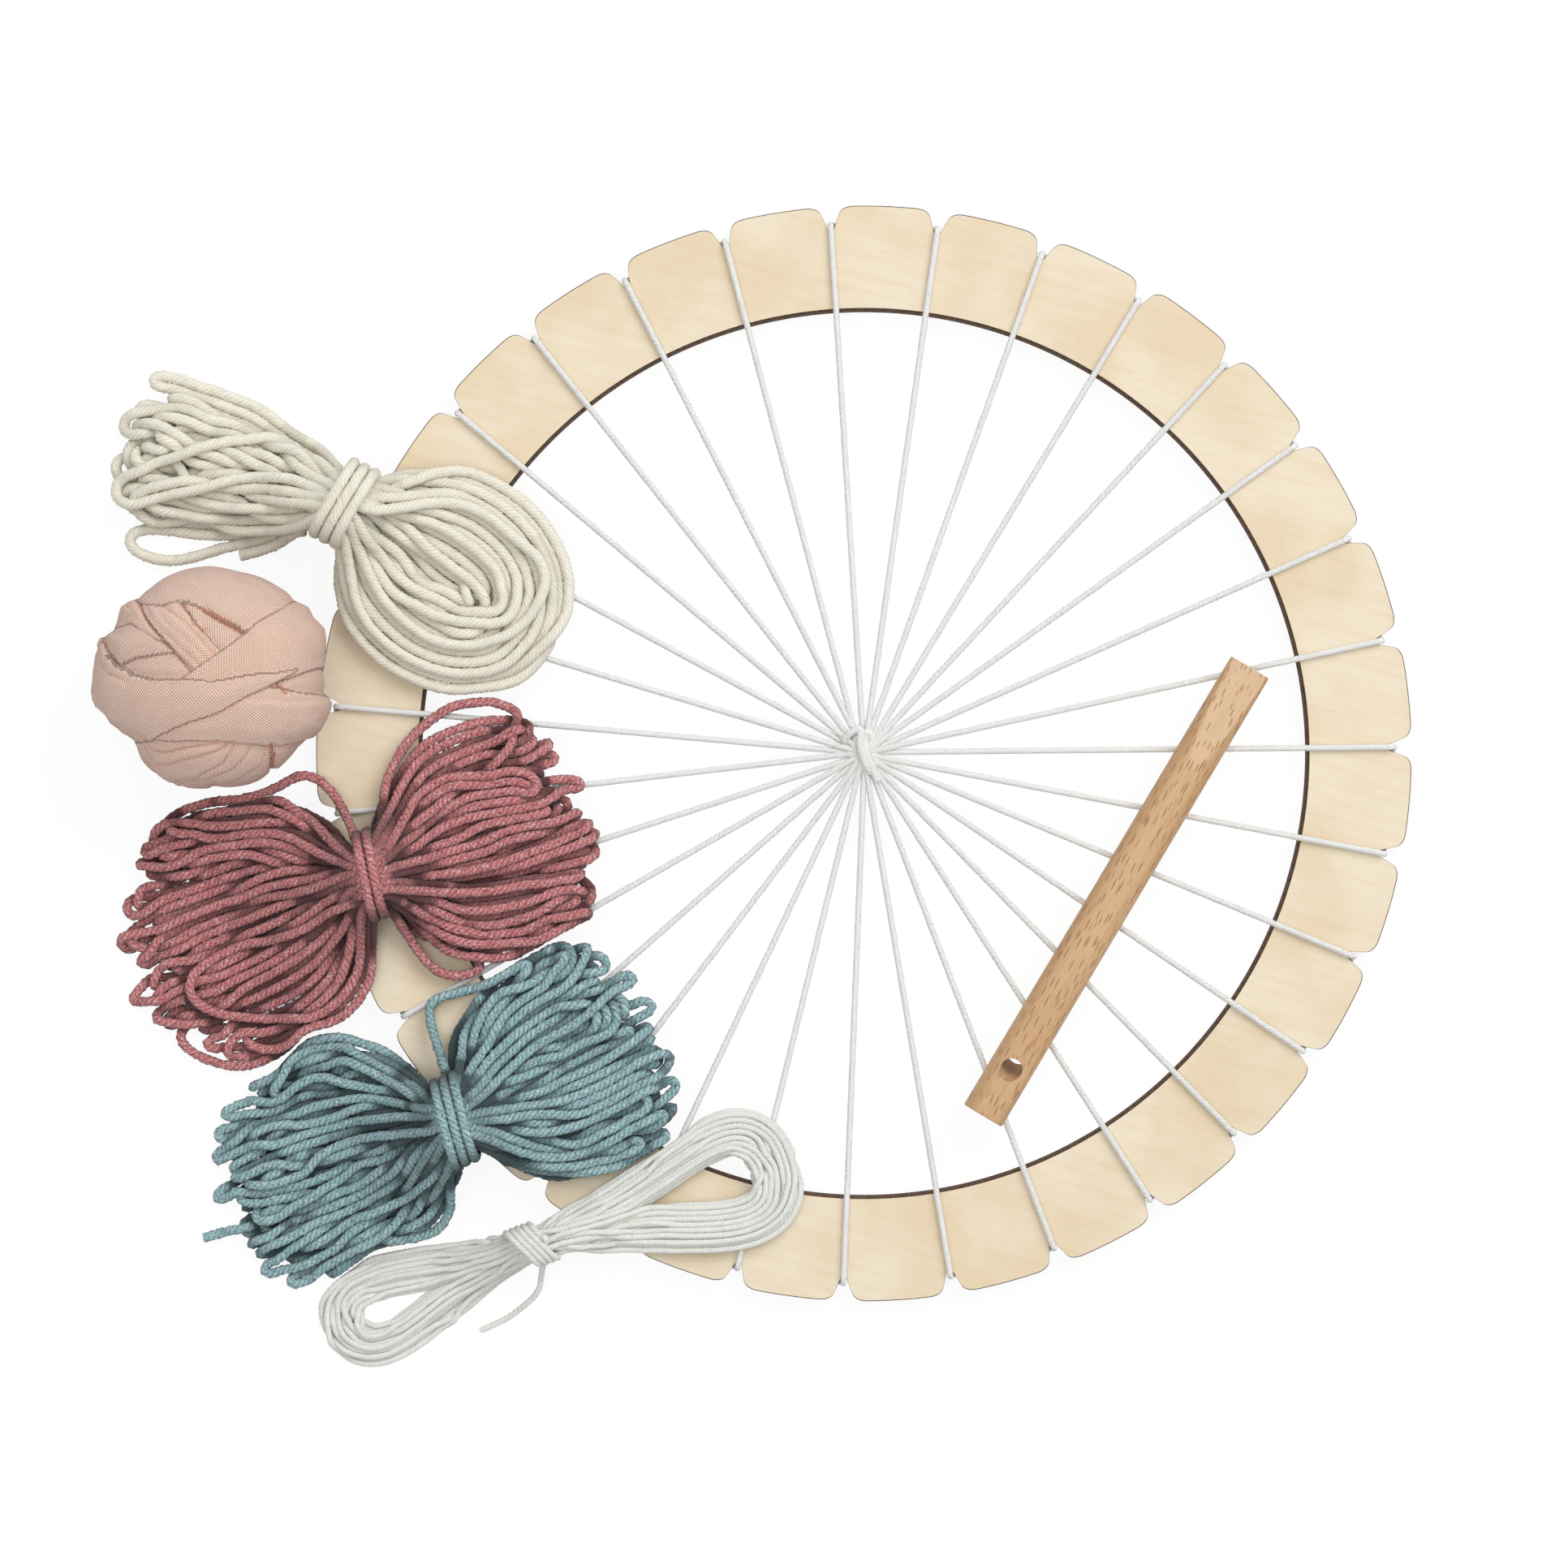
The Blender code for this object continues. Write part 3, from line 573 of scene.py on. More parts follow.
class Round:
    """An end of nested loops round a hole. Shift moves the widest place away from the tie, for
    the smallest and the largest loop; columns pack the loops side by side in neat layers."""

    def __init__(self, heading, reach, half, levels=2.4, shift=(0.0, 0.0), columns=0):
        self.heading = math.radians(heading)
        self.reach = tuple(value * MM for value in reach)
        self.half = tuple(value * MM for value in half)
        self.levels = levels
        self.shift = shift
        self.columns = columns
        self.pull = FIRM if columns else LOOSE

    def loop(self, rng, number, count, strand):
        if self.columns:
            size = number % self.columns / (self.columns - 1)
            level, spread = number // self.columns * 0.9, 0.8
        else:
            size = (number * GOLDEN + 0.5) % 1.0
            level, spread = self.levels * number / count, 2.5
        reach = self.reach[0] + (self.reach[1] - self.reach[0]) * size
        half = self.half[0] + (self.half[1] - self.half[0]) * size
        shift = self.shift[0] + (self.shift[1] - self.shift[0]) * size
        turned = math.radians(rng.normal(0, spread))
        angle = np.linspace(0, math.pi, 44)
        run = reach * (1 - np.cos(angle)) / 2
        side = np.sin(angle) ** 0.8 * (run / reach) ** shift
        side *= half / side.max()
        height = np.full(len(angle), strand * level)
        height += strand * rng.uniform(-0.2, 0.2) * spread * np.cos(angle / 2 + rng.uniform(0, 6))
        legs = []
        for sign in (1, -1):
            legs.append(np.column_stack([run, sign * side + turned * run, height])[:-2])
        tip = np.array([[reach, turned * reach, height[-1]]])
        return legs[0], tip, legs[1][::-1]


example = Fan(0, 70, 30, 30).loop(np.random.default_rng(0), 0.0, 1.0, 3 * MM)
print("points of one loop before it is tied:", sum(len(part) for part in example))

# %% [markdown]
# At the tie all strands of a hank pass through one waist. Each pass has its slot there, in rows
# like a packed bundle, and every loop starts from one slot and comes back to the next, so the
# whole hank is a single strand that never has to jump.

# %% The waist and the whole hank
def waist_slots(count, half_wide, half_high, strand):
    """Places of the strands in the tied waist, sideways and up, packed in an ellipse."""
    rows = max(2, round(math.sqrt(count * half_high / half_wide)))
    spots = []
    for i in range(count):
        row = i * rows // count
        in_row = [j for j in range(count) if j * rows // count == row]
        share = (i - in_row[0] + 0.5) / len(in_row) * 2 - 1
        height = (row + 0.5) / rows * 2 - 1
        width = math.sqrt(max(0.15, 1 - (0.85 * height) ** 2))
        spots.append((share * width * half_wide * (1 if row % 2 == 0 else -1), height * half_high))
    return np.array(spots)


class Hank:
    """One hank: what it is wound from, where its tie is and how its two ends lie."""

    def __init__(self, name, strand, loops, tie, waist, left, right, seed, borders=(None, None),
                 strays=(), tails=(), tie_turns=2.0, tie_slant=0.0):
        self.name = name
        self.strand = strand * MM
        self.loops = loops
        self.tie = at_pixel(*tie)
        self.waist = np.array(waist) * MM
        self.ends = {"left": left, "right": right}
        self.seed = seed
        self.borders = borders
        self.strays = strays
        self.tails = tails
        self.tie_turns = tie_turns
        self.tie_slant = tie_slant
        away = np.array([math.cos(right.heading), math.sin(right.heading)])
        away -= (math.cos(left.heading), math.sin(left.heading))
        self.axis = away / np.linalg.norm(away)
        self.side = np.array([-self.axis[1], self.axis[0]])
        self.waist_middle = ground(self.tie[None])[0] + 1.5 * self.strand + self.waist[1]

    def in_waist(self, flat, height, near_slot, near):
        """Draw rows towards their slot in the waist; near is 1 in the waist and 0 far off."""
        run = (flat - self.tie) @ self.axis
        at_slot = self.tie + run[:, None] * self.axis + near_slot[:, :1] * self.side
        flat = flat * (1 - near[:, None]) + at_slot * near[:, None]
        height = ground(flat) + self.strand / 2 + height
        height = height * (1 - near) + (self.waist_middle + near_slot[:, 1]) * near
        return np.column_stack([flat, height])

    def lay(self, end, legs, slots):
        """A loop's rows of run, sideways and height become places, tied to its two slots."""
        heading = np.array([math.cos(end.heading), math.sin(end.heading)])
        sideways = np.array([-heading[1], heading[0]])
        rows = np.vstack(legs)
        first = len(legs[0]) + len(legs[1]) // 2
        slot = np.where((np.arange(len(rows)) < first)[:, None], slots[0], slots[1])
        flat = self.tie + rows[:, :1] * heading + rows[:, 1:2] * sideways
        near = 1 - smooth(rows[:, 0] / (6.5 * self.strand + 6 * MM))
        return self.in_waist(flat, rows[:, 2], slot, near)

    def lay_pixels(self, pixels, level, slots):
        """A stray loop or a cut end, by the pixels that it passes."""
        flat = evenly(at_pixels(*pixels), 2 * MM)
        along = runs_of(flat)
        blend = 6 * self.strand
        near = 1 - smooth(along / blend)
        slot = np.repeat(slots[:1], len(flat), axis=0)
        if len(slots) > 1:
            from_end = 1 - smooth((along[-1] - along) / blend)
            slot[from_end > near] = slots[1]
            near = np.maximum(near, from_end)
        return self.in_waist(flat, np.full(len(flat), level * self.strand), slot, near)

    def arrange(self):
        """The waist slots in the order of the passes, and the loops that are strays."""
        slots = waist_slots(2 * self.loops, *self.waist, self.strand)
        if any(isinstance(end, Round) for end in self.ends.values()):
            order = np.argsort(slots[:, 0])
            low, high = order[:self.loops], order[self.loops:]
            low = low[np.argsort(slots[low, 1])]
            high = high[np.argsort(slots[high, 1])]
            slots = np.stack([slots[high], slots[low]], axis=1).reshape(-1, 2)
        across = slots[:, 0] / self.waist[0]
        heights = slots[:, 1] / self.waist[1]
        chosen = {}
        for end, wanted, level, pixels in self.strays:
            start = 0 if end == "right" else 1
            best = min((n for n in range(start, 2 * self.loops - 1, 2) if n not in chosen),
                       key=lambda n: abs(across[n:n + 2].mean() - wanted)
                       + 0.3 * abs(heights[n:n + 2].mean() - min(1, level / 2 - 0.5)))
            chosen[best] = (level, pixels)
        return slots, across, heights, chosen

    def plan(self):
        """The strand's rough layout as rows of place, pull and whether the tie holds it."""
        rng = np.random.default_rng(self.seed)
        slots, across, heights, chosen = self.arrange()
        parts = [(self.lay_pixels(self.tails[0], 0, slots[:1])[::-1], FIRM)]
        for number in range(2 * self.loops - 1):
            side = "right" if number % 2 == 0 else "left"
            end = self.ends[side]
            pair = slots[number:number + 2]
            turned = 1 if side == "right" else -1
            if number in chosen:
                level, pixels = chosen[number]
                start = at_pixel(*pixels[0]) - self.tie
                finish = at_pixel(*pixels[-1]) - self.tie
                if (pair[0, 0] - pair[1, 0]) * ((start - finish) @ self.side) < 0:
                    pixels = pixels[::-1]
                parts.append((self.lay_pixels(pixels, level, pair), STRAY))
                continue
            if isinstance(end, Round):
                legs = end.loop(rng, number // 2, self.loops, self.strand)
            else:
                level = 1.5 * (heights[number:number + 2].mean() + 1) + rng.uniform(-0.4, 0.4)
                middle = turned * across[number:number + 2].mean() * 1.15
                legs = end.loop(rng, middle, max(0, level), self.strand)
            if turned * (pair[0, 0] - pair[1, 0]) < 0:
                legs = (legs[2][::-1], legs[1][::-1], legs[0][::-1])
            parts.append((self.lay(end, legs, pair), end.pull))
        parts.append((self.lay_pixels(self.tails[1], 0, slots[-1:]), FIRM))
        rows = np.vstack([np.column_stack([rows, np.full(len(rows), pull)])
                          for rows, pull in parts])
        keep = np.linalg.norm(np.diff(rows[:, :3], axis=0), axis=1) > 0.3 * MM
        rows = evenly(rows[np.concatenate([[True], keep])], 0.75 * self.strand, 3)
        run = np.abs((rows[:, :2] - self.tie) @ self.axis)
        off = np.abs((rows[:, :2] - self.tie) @ self.side)
        held = (run < 1.2 * self.strand) & (off < 1.5 * self.waist[0] + self.strand)
        room = 0.6 + 0.37 * smooth(run / (5 * self.strand))
        return rows[:, :3], held, room, rows[:, 3]

    def route(self, rounds):
        plan, held, room, pull = self.plan()
        limit = keep_inside(*self.borders, 0.5 * self.strand + 0.5 * MM)
        points = settle(plan, held, room, pull, self.strand, limit, rounds)
        points[1:-1] = (points[:-2] + 2 * points[1:-1] + points[2:]) / 4
        return points

    def tie_route(self):
        """The strand wound round the waist, close to it, from its underside to its underside."""
        wide, high = self.waist + 1.05 * self.strand
        turned = np.linspace(0, self.tie_turns, round(self.tie_turns * 28) + 1)
        angle = 2 * math.pi * turned - math.pi / 2
        power = 2.6
        rounding = (np.abs(np.cos(angle)) ** power + np.abs(np.sin(angle)) ** power) ** (1 / power)
        along = (turned - self.tie_turns / 2) * 0.98 * self.strand
        along = along + self.tie_slant * self.strand * np.cos(angle)
        aside = wide * np.cos(angle) / rounding
        flat = self.tie + along[:, None] * self.axis + aside[:, None] * self.side
        return np.column_stack([flat, self.waist_middle + high * np.sin(angle) / rounding])


print("a waist for 40 passes:", len(waist_slots(40, 7.5 * MM, 7.5 * MM, 3.2 * MM)), "slots")

# %% [markdown]
# These are the four hanks as they lie in the photograph, from top to bottom: strand in mm,
# number of loops, the tie's pixel, the waist's half width and half height in mm, the left and
# the right end, and the seed of the random draws. An end has its heading in degrees, then its
# reach and its widths in mm. Strays and cut ends are drawn one by one, as they catch the eye.

# %% The four hanks of the photograph
HANKS = [
    Hank("cream", 3.2, 20, (428, 622), (7.5, 7.5),
         Fan(164, 71, 30, 30, 0, 0.15), Round(-38, (50, 68), (7, 29)), 3,
         borders=(None, CREAM_ROSE), tie_turns=3.0, tie_slant=0.4,
         strays=[
             ("left", 0.9, 4, [(420, 590), (330, 545), (220, 560), (140, 592), (150, 620),
                               (240, 600), (340, 590), (415, 600)])],
         tails=([(415, 650), (300, 652), (200, 650), (155, 653), (156, 676), (202, 694),
                 (240, 687), (282, 668), (325, 652), (370, 640)],
                [(410, 655), (357, 669), (298, 683)])),
    Hank("rose", 2.8, 31, (460, 1077), (8.5, 9.0),
         Fan(203, 79, 32, 30, 2.4, 0.25), Fan(15, 66, 33, 30, 2.6, 0.2), 5,
         borders=(CREAM_ROSE, ROSE_BLUE), tie_turns=2.0, tie_slant=0.7,
         strays=[
             ("left", 0.95, 1, [(442, 1037), (420, 985), (375, 950), (297, 978), (218, 1000),
                                (193, 1037), (240, 1048), (340, 1040), (430, 1055)]),
             ("left", -0.5, 5, [(455, 1130), (454, 1174), (430, 1228), (380, 1253), (320, 1256),
                                (276, 1249), (230, 1228), (247, 1191), (300, 1165), (371, 1150),
                                (440, 1105)]),
             ("left", -1.0, 0, [(460, 1130), (430, 1205), (378, 1261), (317, 1312), (255, 1308),
                                (215, 1275), (260, 1230), (360, 1190), (445, 1120)]),
             ("right", 0.95, 3, [(462, 1035), (478, 960), (500, 915), (535, 884), (583, 858),
                                 (632, 874), (650, 900), (600, 950), (520, 1010), (475, 1050)]),
             ("right", -0.95, 0, [(475, 1115), (505, 1160), (546, 1203), (600, 1190),
                                  (560, 1150), (485, 1090)])],
         tails=([(440, 1090), (380, 1120), (300, 1180)],
                [(440, 1080), (380, 1075), (300, 1070), (240, 1068)])),
    Hank("blue", 2.8, 31, (563, 1378), (8.5, 9.0),
         Fan(201, 74, 30, 28, 2.4, 0.2), Fan(27, 67, 31, 29, 2.6, 0.2), 7,
         borders=(ROSE_BLUE, BLUE_STRING), tie_turns=3.0, tie_slant=0.9,
         strays=[
             ("right", 0.95, 2, [(555, 1340), (540, 1290), (527, 1244), (545, 1214), (599, 1208),
                                 (640, 1180), (660, 1190), (610, 1250), (575, 1340)]),
             ("right", -0.95, 1, [(600, 1395), (660, 1425), (696, 1433), (728, 1437),
                                  (768, 1409), (730, 1395), (620, 1375)]),
             ("left", -0.95, 2, [(560, 1415), (555, 1480), (545, 1515), (500, 1530),
                                 (440, 1520), (500, 1450), (545, 1400)])],
         tails=([(545, 1360), (470, 1330), (410, 1318), (378, 1298)],
                [(550, 1390), (450, 1450), (330, 1500), (248, 1527)])),
    Hank("string", 1.7, 16, (658, 1532), (3.9, 3.6),
         Round(204, (54, 61), (6, 12), 0, (2.6, 1.0), 4),
         Round(18, (65, 74), (8.5, 17), 0, (2.6, 1.1), 5), 11,
         borders=(BLUE_STRING, None), tie_turns=4.5, tie_slant=-1.5,
         tails=([(645, 1535), (610, 1550), (560, 1560)],
                [(645, 1528), (600, 1540), (540, 1562)])),
]
print("hanks:", ", ".join(hank.name for hank in HANKS))

# %% [markdown]
# Now each strand settles.

# %% Let the hanks settle
ROUNDS = 260
routes = {}
for hank in HANKS:
    routes[hank.name] = hank.route(ROUNDS)
    length = runs_of(routes[hank.name])[-1]
    print(hank.name, "points:", len(routes[hank.name]), "m:", round(length, 2))

# %% [markdown]
# Wool scatters light between its fibres, so it looks soft and matt, lighter on the ply's back
# and darker in the grooves. The finish uses the strand's own attributes: noise that is drawn
# out along the twist gives the fibres, and the rest is painted shade: the groove value darkens
# the space between plies, and strands that lie under others and the sides of a strand that
# face down are darker too, because little light gets down between fibres.

# %% Yarn finish
def yarn_finish(name, base, pale, deep, fibre_scale=1.3, patch=0.25, groove_shade=0.8, fleck=0.0,
                under_shade=0.3, side_shade=0.3):
    """Spun fibres: streaks along each ply, pale flecks, and painted shade between the plies.

    The shares are those of dark patches, the painted shade in the grooves, flecks, and the
    painted shade on strands that lie under others and on the sides of a strand that face down.
    """
    finish = Finish(name, base, 0.85, Sheen_Weight=0.2, Sheen_Roughness=0.5)
    groove, under, low = (finish.attribute(key) for key in ("groove", "under", "low"))
    wide = finish.vector("MULTIPLY", finish.attribute("around", "Vector"), (5.0, 5.0, 0.0))
    run = finish.node("ShaderNodeCombineXYZ", {"Z": finish.attribute("along") * 1000 * 0.35})
    fibres = finish.noise(finish.vector("ADD", wide, run), fibre_scale, 3.0, 0.6)
    fuzz = finish.noise(finish.place(), 1.5, 3.0, 0.7)
    patches = finish.noise(finish.place(), 0.12, 2.0)
    tone = finish.layers(
        base, (fibres.fit(0.40, 0.72), pale), (fibres.fit(0.48, 0.25) * 0.5, deep),
        # Painted shade in the grooves between plies.
        (groove.fit(0.25, 1.0) * fuzz.fit(0.25, 0.65) * groove_shade, deep),
        (patches.fit(0.40, 0.75) * patch, deep))
    height = fibres
    if fleck:
        tone = finish.layers(
            tone, (fuzz.fit(0.48, 0.30) * fleck, tuple(0.45 * v for v in deep)),
            (fuzz.fit(0.52, 0.70) * fleck, tuple(0.4 + 0.6 * v for v in pale)))
        height = fibres + fuzz * (2.0 * fleck)
    # Painted shade on the sides of a strand that face down and on strands that lie under others.
    tone = finish.layers(
        tone, (low.fit(-0.75, 0.15) * side_shade, tuple(0.6 * v for v in deep)),
        (under.fit(0.15, 1.3) * under_shade, tuple(0.35 * v for v in deep)))
    finish.set("Base Color", tone)
    finish.set("Normal", finish.bump(height, 0.35 * MM, 0.8))
    return finish


# The shares for the grooves, for strands under others and for the sides that face down are painted
# shade.
WOOL = dict(patch=0.08, groove_shade=0.8, fleck=1.0, under_shade=0.95, side_shade=0.7)
FINISHES = {
    "cream": yarn_finish("cream wool", srgb(250, 246, 229), srgb(255, 253, 243),
                         srgb(204, 189, 148), 1.3, 0.04, 0.45, under_shade=0.2, side_shade=0.1),
    "rose": yarn_finish("rose wool", srgb(212, 118, 120), srgb(244, 178, 176),
                        srgb(122, 44, 50), **WOOL),
    "blue": yarn_finish("blue wool", srgb(152, 198, 204), srgb(202, 230, 231),
                        srgb(60, 100, 108), **WOOL),
    "string": yarn_finish("white cotton", srgb(253, 254, 247), srgb(255, 255, 252),
                          srgb(214, 219, 196), 1.6, 0.03, 0.35, under_shade=0.1, side_shade=0.0),
}
print("yarn finishes:", ", ".join(FINISHES))

# %% [markdown]
# Each yarn has its own spin: the cream one is thick with a long twist, the coloured wools are
# uneven, and the string is thin, even and tight. A tie is the same yarn, wound close round the
# waist, so it is a second strand with the hank's own finish.

# %% Make the hanks and their ties
# Plies, corners a ply, depth of the grooves, and in mm the unevenness, a turn and the spacing.
SPUN = {"cream": (6, 2, 0.13, 0.8, 8.5, 0.74), "rose": (4, 2, 0.11, 1.1, 6.6, 0.72),
        "blue": (4, 2, 0.11, 1.1, 6.6, 0.72), "string": (3, 3, 0.13, 0.2, 4.4, 0.46)}
STRING_TIE_TAIL = [(667, 1572), (664, 1588), (653, 1603), (625, 1625), (591, 1641)]


def depth_under(points, strand):
    """How many strands deep each point lies under the others that cross it or touch it."""
    x, y, z = points[:, :3].astype(np.float32).T
    apart = np.hypot(x[:, None] - x, y[:, None] - y)
    return (np.where(apart < 1.1 * strand, z, 0).max(axis=1) - z) / strand


def hank_strand(name, hank, rows, stands_for):
    """A strand of the hank's yarn along the rows, put on the hank's body in place of the model's
    part.
    """
    plies, corners, groove, uneven, turn, spacing = SPUN[hank.name]
    route = evenly(np.column_stack([rows, depth_under(rows, hank.strand)]), spacing * MM, 5)
    piece = strand_piece(name, [route], hank.strand, plies, groove, turn * MM,
                         FINISHES[hank.name], uneven * MM, corners)
    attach(piece, hank.name + "_hank")
    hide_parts(stands_for)


for hank in HANKS:
    hank_strand(hank.name + "_yarn", hank, routes[hank.name], hank.name + "_hank")
    tie = hank.tie_route()
    if hank.name == "string":
        flat = at_pixels(*STRING_TIE_TAIL)
        tie = np.vstack([tie, np.column_stack([flat, ground(flat) + hank.strand / 2])])
    hank_strand(hank.name + "_yarn_tie", hank, tie, hank.name + "_tie")

# %% [markdown]
# The ring is laser-cut birch plywood with 31 tabs, and its shape is one tab repeated. One tab
# is meshed as a closed band from notch to notch, with fine edges; Geometry Nodes turn copies
# of it round the centre and merge them. A "burn" value is stored on the edges, where the laser
# browned the wood. The beam cuts slightly narrower as it goes down, so the inner wall leans in.

# %% One tab
RING_RADIUS = 150 * MM
RING_INNER_RADIUS = 121.8 * MM
RING_BOTTOM = 2 * MM
TABS = 31
TAB_STEP = 2 * math.pi / TABS
FIRST_NOTCH = math.radians(-3.6)
NOTCH_FLOOR = 144 * MM


def toward(angle):
    """Unit vector for an angle clockwise from straight up in the photograph."""
    return np.array((math.sin(angle), math.cos(angle), 0.0))


def notch_outline():
    """Half a notch and the corner after it: rows of sideways and outwards, in metres."""
    base = NOTCH_FLOOR / MM
    floor = [(0.0, base), (0.5, base), (0.9, base + 0.05)]
    wall = [(0.9 + 1.616 * s, base + 0.05 + 3.95 * s) for s in (0.12, 0.3, 0.5, 0.75, 1.0)]
    corner = np.array((3.35, 149.9))
    start, end = np.array((2.516, 148.0)), np.array((6.6, 149.86))
    rounding = [start * (1 - s) ** 2 + corner * 2 * s * (1 - s) + end * s ** 2
                for s in np.linspace(0, 1, 8)[1:]]
    return np.array(floor + wall + [tuple(p) for p in rounding]) * MM


def tab_columns():
    """The tab's outline as rows of angle from its first notch and radius."""
    sideways, outwards = notch_outline().T
    angle = np.arctan2(sideways, outwards)
    radius = np.hypot(sideways, outwards)
    middle = np.linspace(angle[-1], TAB_STEP - angle[-1], 14)[1:-1]
    first = np.column_stack([angle, radius])
    last = np.column_stack([TAB_STEP - angle, radius])[::-1]
    return np.vstack([first, np.column_stack([middle, np.full(len(middle), RING_RADIUS)]), last])


def tab_mesh():
    columns = tab_columns()
    edge, inset, taper = 0.13 * MM, 0.36 * MM, 0.8 * MM
    inner, middle = RING_INNER_RADIUS, (RING_BOTTOM + RING_TOP) / 2
    verts, burns = [], []
    for angle, radius in columns:
        face = np.linspace(inner + inset, radius - inset, 9)
        profile = [(inner - taper, RING_BOTTOM + edge, 1), (inner - taper / 2, middle, 1),
                   (inner, RING_TOP - edge, 1), (inner + edge, RING_TOP, 1)]
        profile += [(r, RING_TOP, 0) for r in face]
        profile += [(radius - edge, RING_TOP, 1), (radius, RING_TOP - edge, 1),
                    (radius, middle, 1), (radius, RING_BOTTOM + edge, 1),
                    (radius - edge, RING_BOTTOM, 1)]
        profile += [(r, RING_BOTTOM, 0) for r in face[:0:-1]]
        profile += [(inner + inset - taper, RING_BOTTOM, 0), (inner + edge - taper, RING_BOTTOM, 1)]
        for out, height, burn in profile:
            verts.append(toward(FIRST_NOTCH + angle) * out + (0, 0, height))
            burns.append(burn)
    loop = len(profile)
    faces = []
    for i in range(0, len(verts) - loop, loop):
        for j in range(loop):
            k = (j + 1) % loop
            faces.append((i + j, i + loop + j, i + loop + k, i + k))
    mesh = bpy.data.meshes.new("plywood_ring")
    mesh.from_pydata(verts, [], faces)
    keep_values(mesh, burn=burns)
    return mesh


print("columns of one tab:", len(tab_columns()), "degrees:", round(math.degrees(TAB_STEP), 2))

# %% [markdown]
# The tab is set on one point for each copy, and every copy is turned a step further. An Array
# modifier on an empty would do as well, but here the number of tabs stays a named input.

# %% Thirty-one tabs round the centre
def ring_tree():
    tree = ShapeTree("tabs round a centre",
                     {"Tabs": "Int", "Centre": "Vector", "Finish": "Material"})
    points = tree.node("GeometryNodePoints", {"Count": tree.given("Tabs")})
    angle = tree.node("GeometryNodeInputIndex") * (-2 * math.pi) / tree.given("Tabs")
    values = {"Points": points, "Instance": tree.given("Geometry"),
              "Rotation": tree.node("ShaderNodeCombineXYZ", {"Z": angle})}
    ring = tree.node("GeometryNodeInstanceOnPoints", values)
    ring = tree.node("GeometryNodeRealizeInstances", {"Geometry": ring})
    ring = tree.node("GeometryNodeMergeByDistance", {"Geometry": ring, "Distance": 0.01 * MM})
    move = {"Geometry": ring, "Translation": tree.given("Centre")}
    tree.close(tree.node("GeometryNodeTransform", move))
    return tree


RING_TREE = ring_tree()
print("inputs of the ring:", ", ".join(RING_TREE.keys))

# %% [markdown]
# Birch plywood is pale, with short fine fibres in one direction, here a little below the
# horizontal, and faint clouds of warmer wood. The cut edge shows dark brown.

# %% Plywood finish
def plywood_finish():
    finish = Finish("birch plywood", srgb(238, 224, 199), 0.62)
    grain = finish.place(math.radians(-17), (0.26, 4.0, 1.0))
    long_grain = finish.place(math.radians(-16), (0.035, 0.5, 0.5))
    fibres = finish.noise(grain, 1.0, 3.0, 0.65)
    bands = finish.noise(long_grain, 1.0, 2.0)
    clouds = finish.noise(finish.place(), 0.045, 2.0)
    burn = finish.attribute("burn")
    char = finish.noise(finish.place(0.0, (1.0, 1.0, 0.3)), 1.4, 2.0)
    charred = finish.mix(char.fit(0.35, 0.7), srgb(58, 38, 26), srgb(104, 74, 48))
    finish.set("Base Color", finish.layers(
        srgb(235, 222, 197), (clouds.fit(0.35, 0.70), srgb(227, 208, 176)),
        (bands.fit(0.40, 0.72) * 0.28, srgb(222, 196, 156)),
        (fibres.fit(0.55, 0.78) * 0.42, srgb(208, 176, 132)),
        (fibres.fit(0.45, 0.22) * 0.5, srgb(243, 234, 216)), (burn.fit(0.30, 0.9), charred)))
    finish.set("Roughness", 0.58 + burn * 0.3)
    finish.set("Normal", finish.bump(fibres, 0.06 * MM, 0.5))
    return finish


def make_ring():
    ring = RING_TREE.applied(put_in_scene("plywood_ring", tab_mesh()), {
        "Tabs": TABS, "Centre": RING_CENTRE.tolist(), "Finish": plywood_finish().material})
    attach(ring, "loom")
    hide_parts("loom_ring")
    print("ring faces:", len(ring.data.polygons))


make_ring()

# %% [markdown]
# The warp is one cotton string: it runs from the centre over the front of the ring, through a
# notch, behind one tab, and back to the centre. Near the middle two neighbours draw together,
# and a few wraps over the crossing hold them all.

# %% Warp routes
WARP = 1.7 * MM
BEND = 0.3 * MM + WARP / 2
WARP_FRONT = RING_TOP + BEND
START_NOTCH = 16


def notch_angle(index):
    return FIRST_NOTCH + index * TAB_STEP


def warp_partner(index):
    """The notch that the string runs to behind the ring."""
    if index == START_NOTCH:
        return index + 1
    pairs_start = 0 if index < START_NOTCH else START_NOTCH + 1
    return index + 1 if (index - pairs_start) % 2 == 0 else index - 1


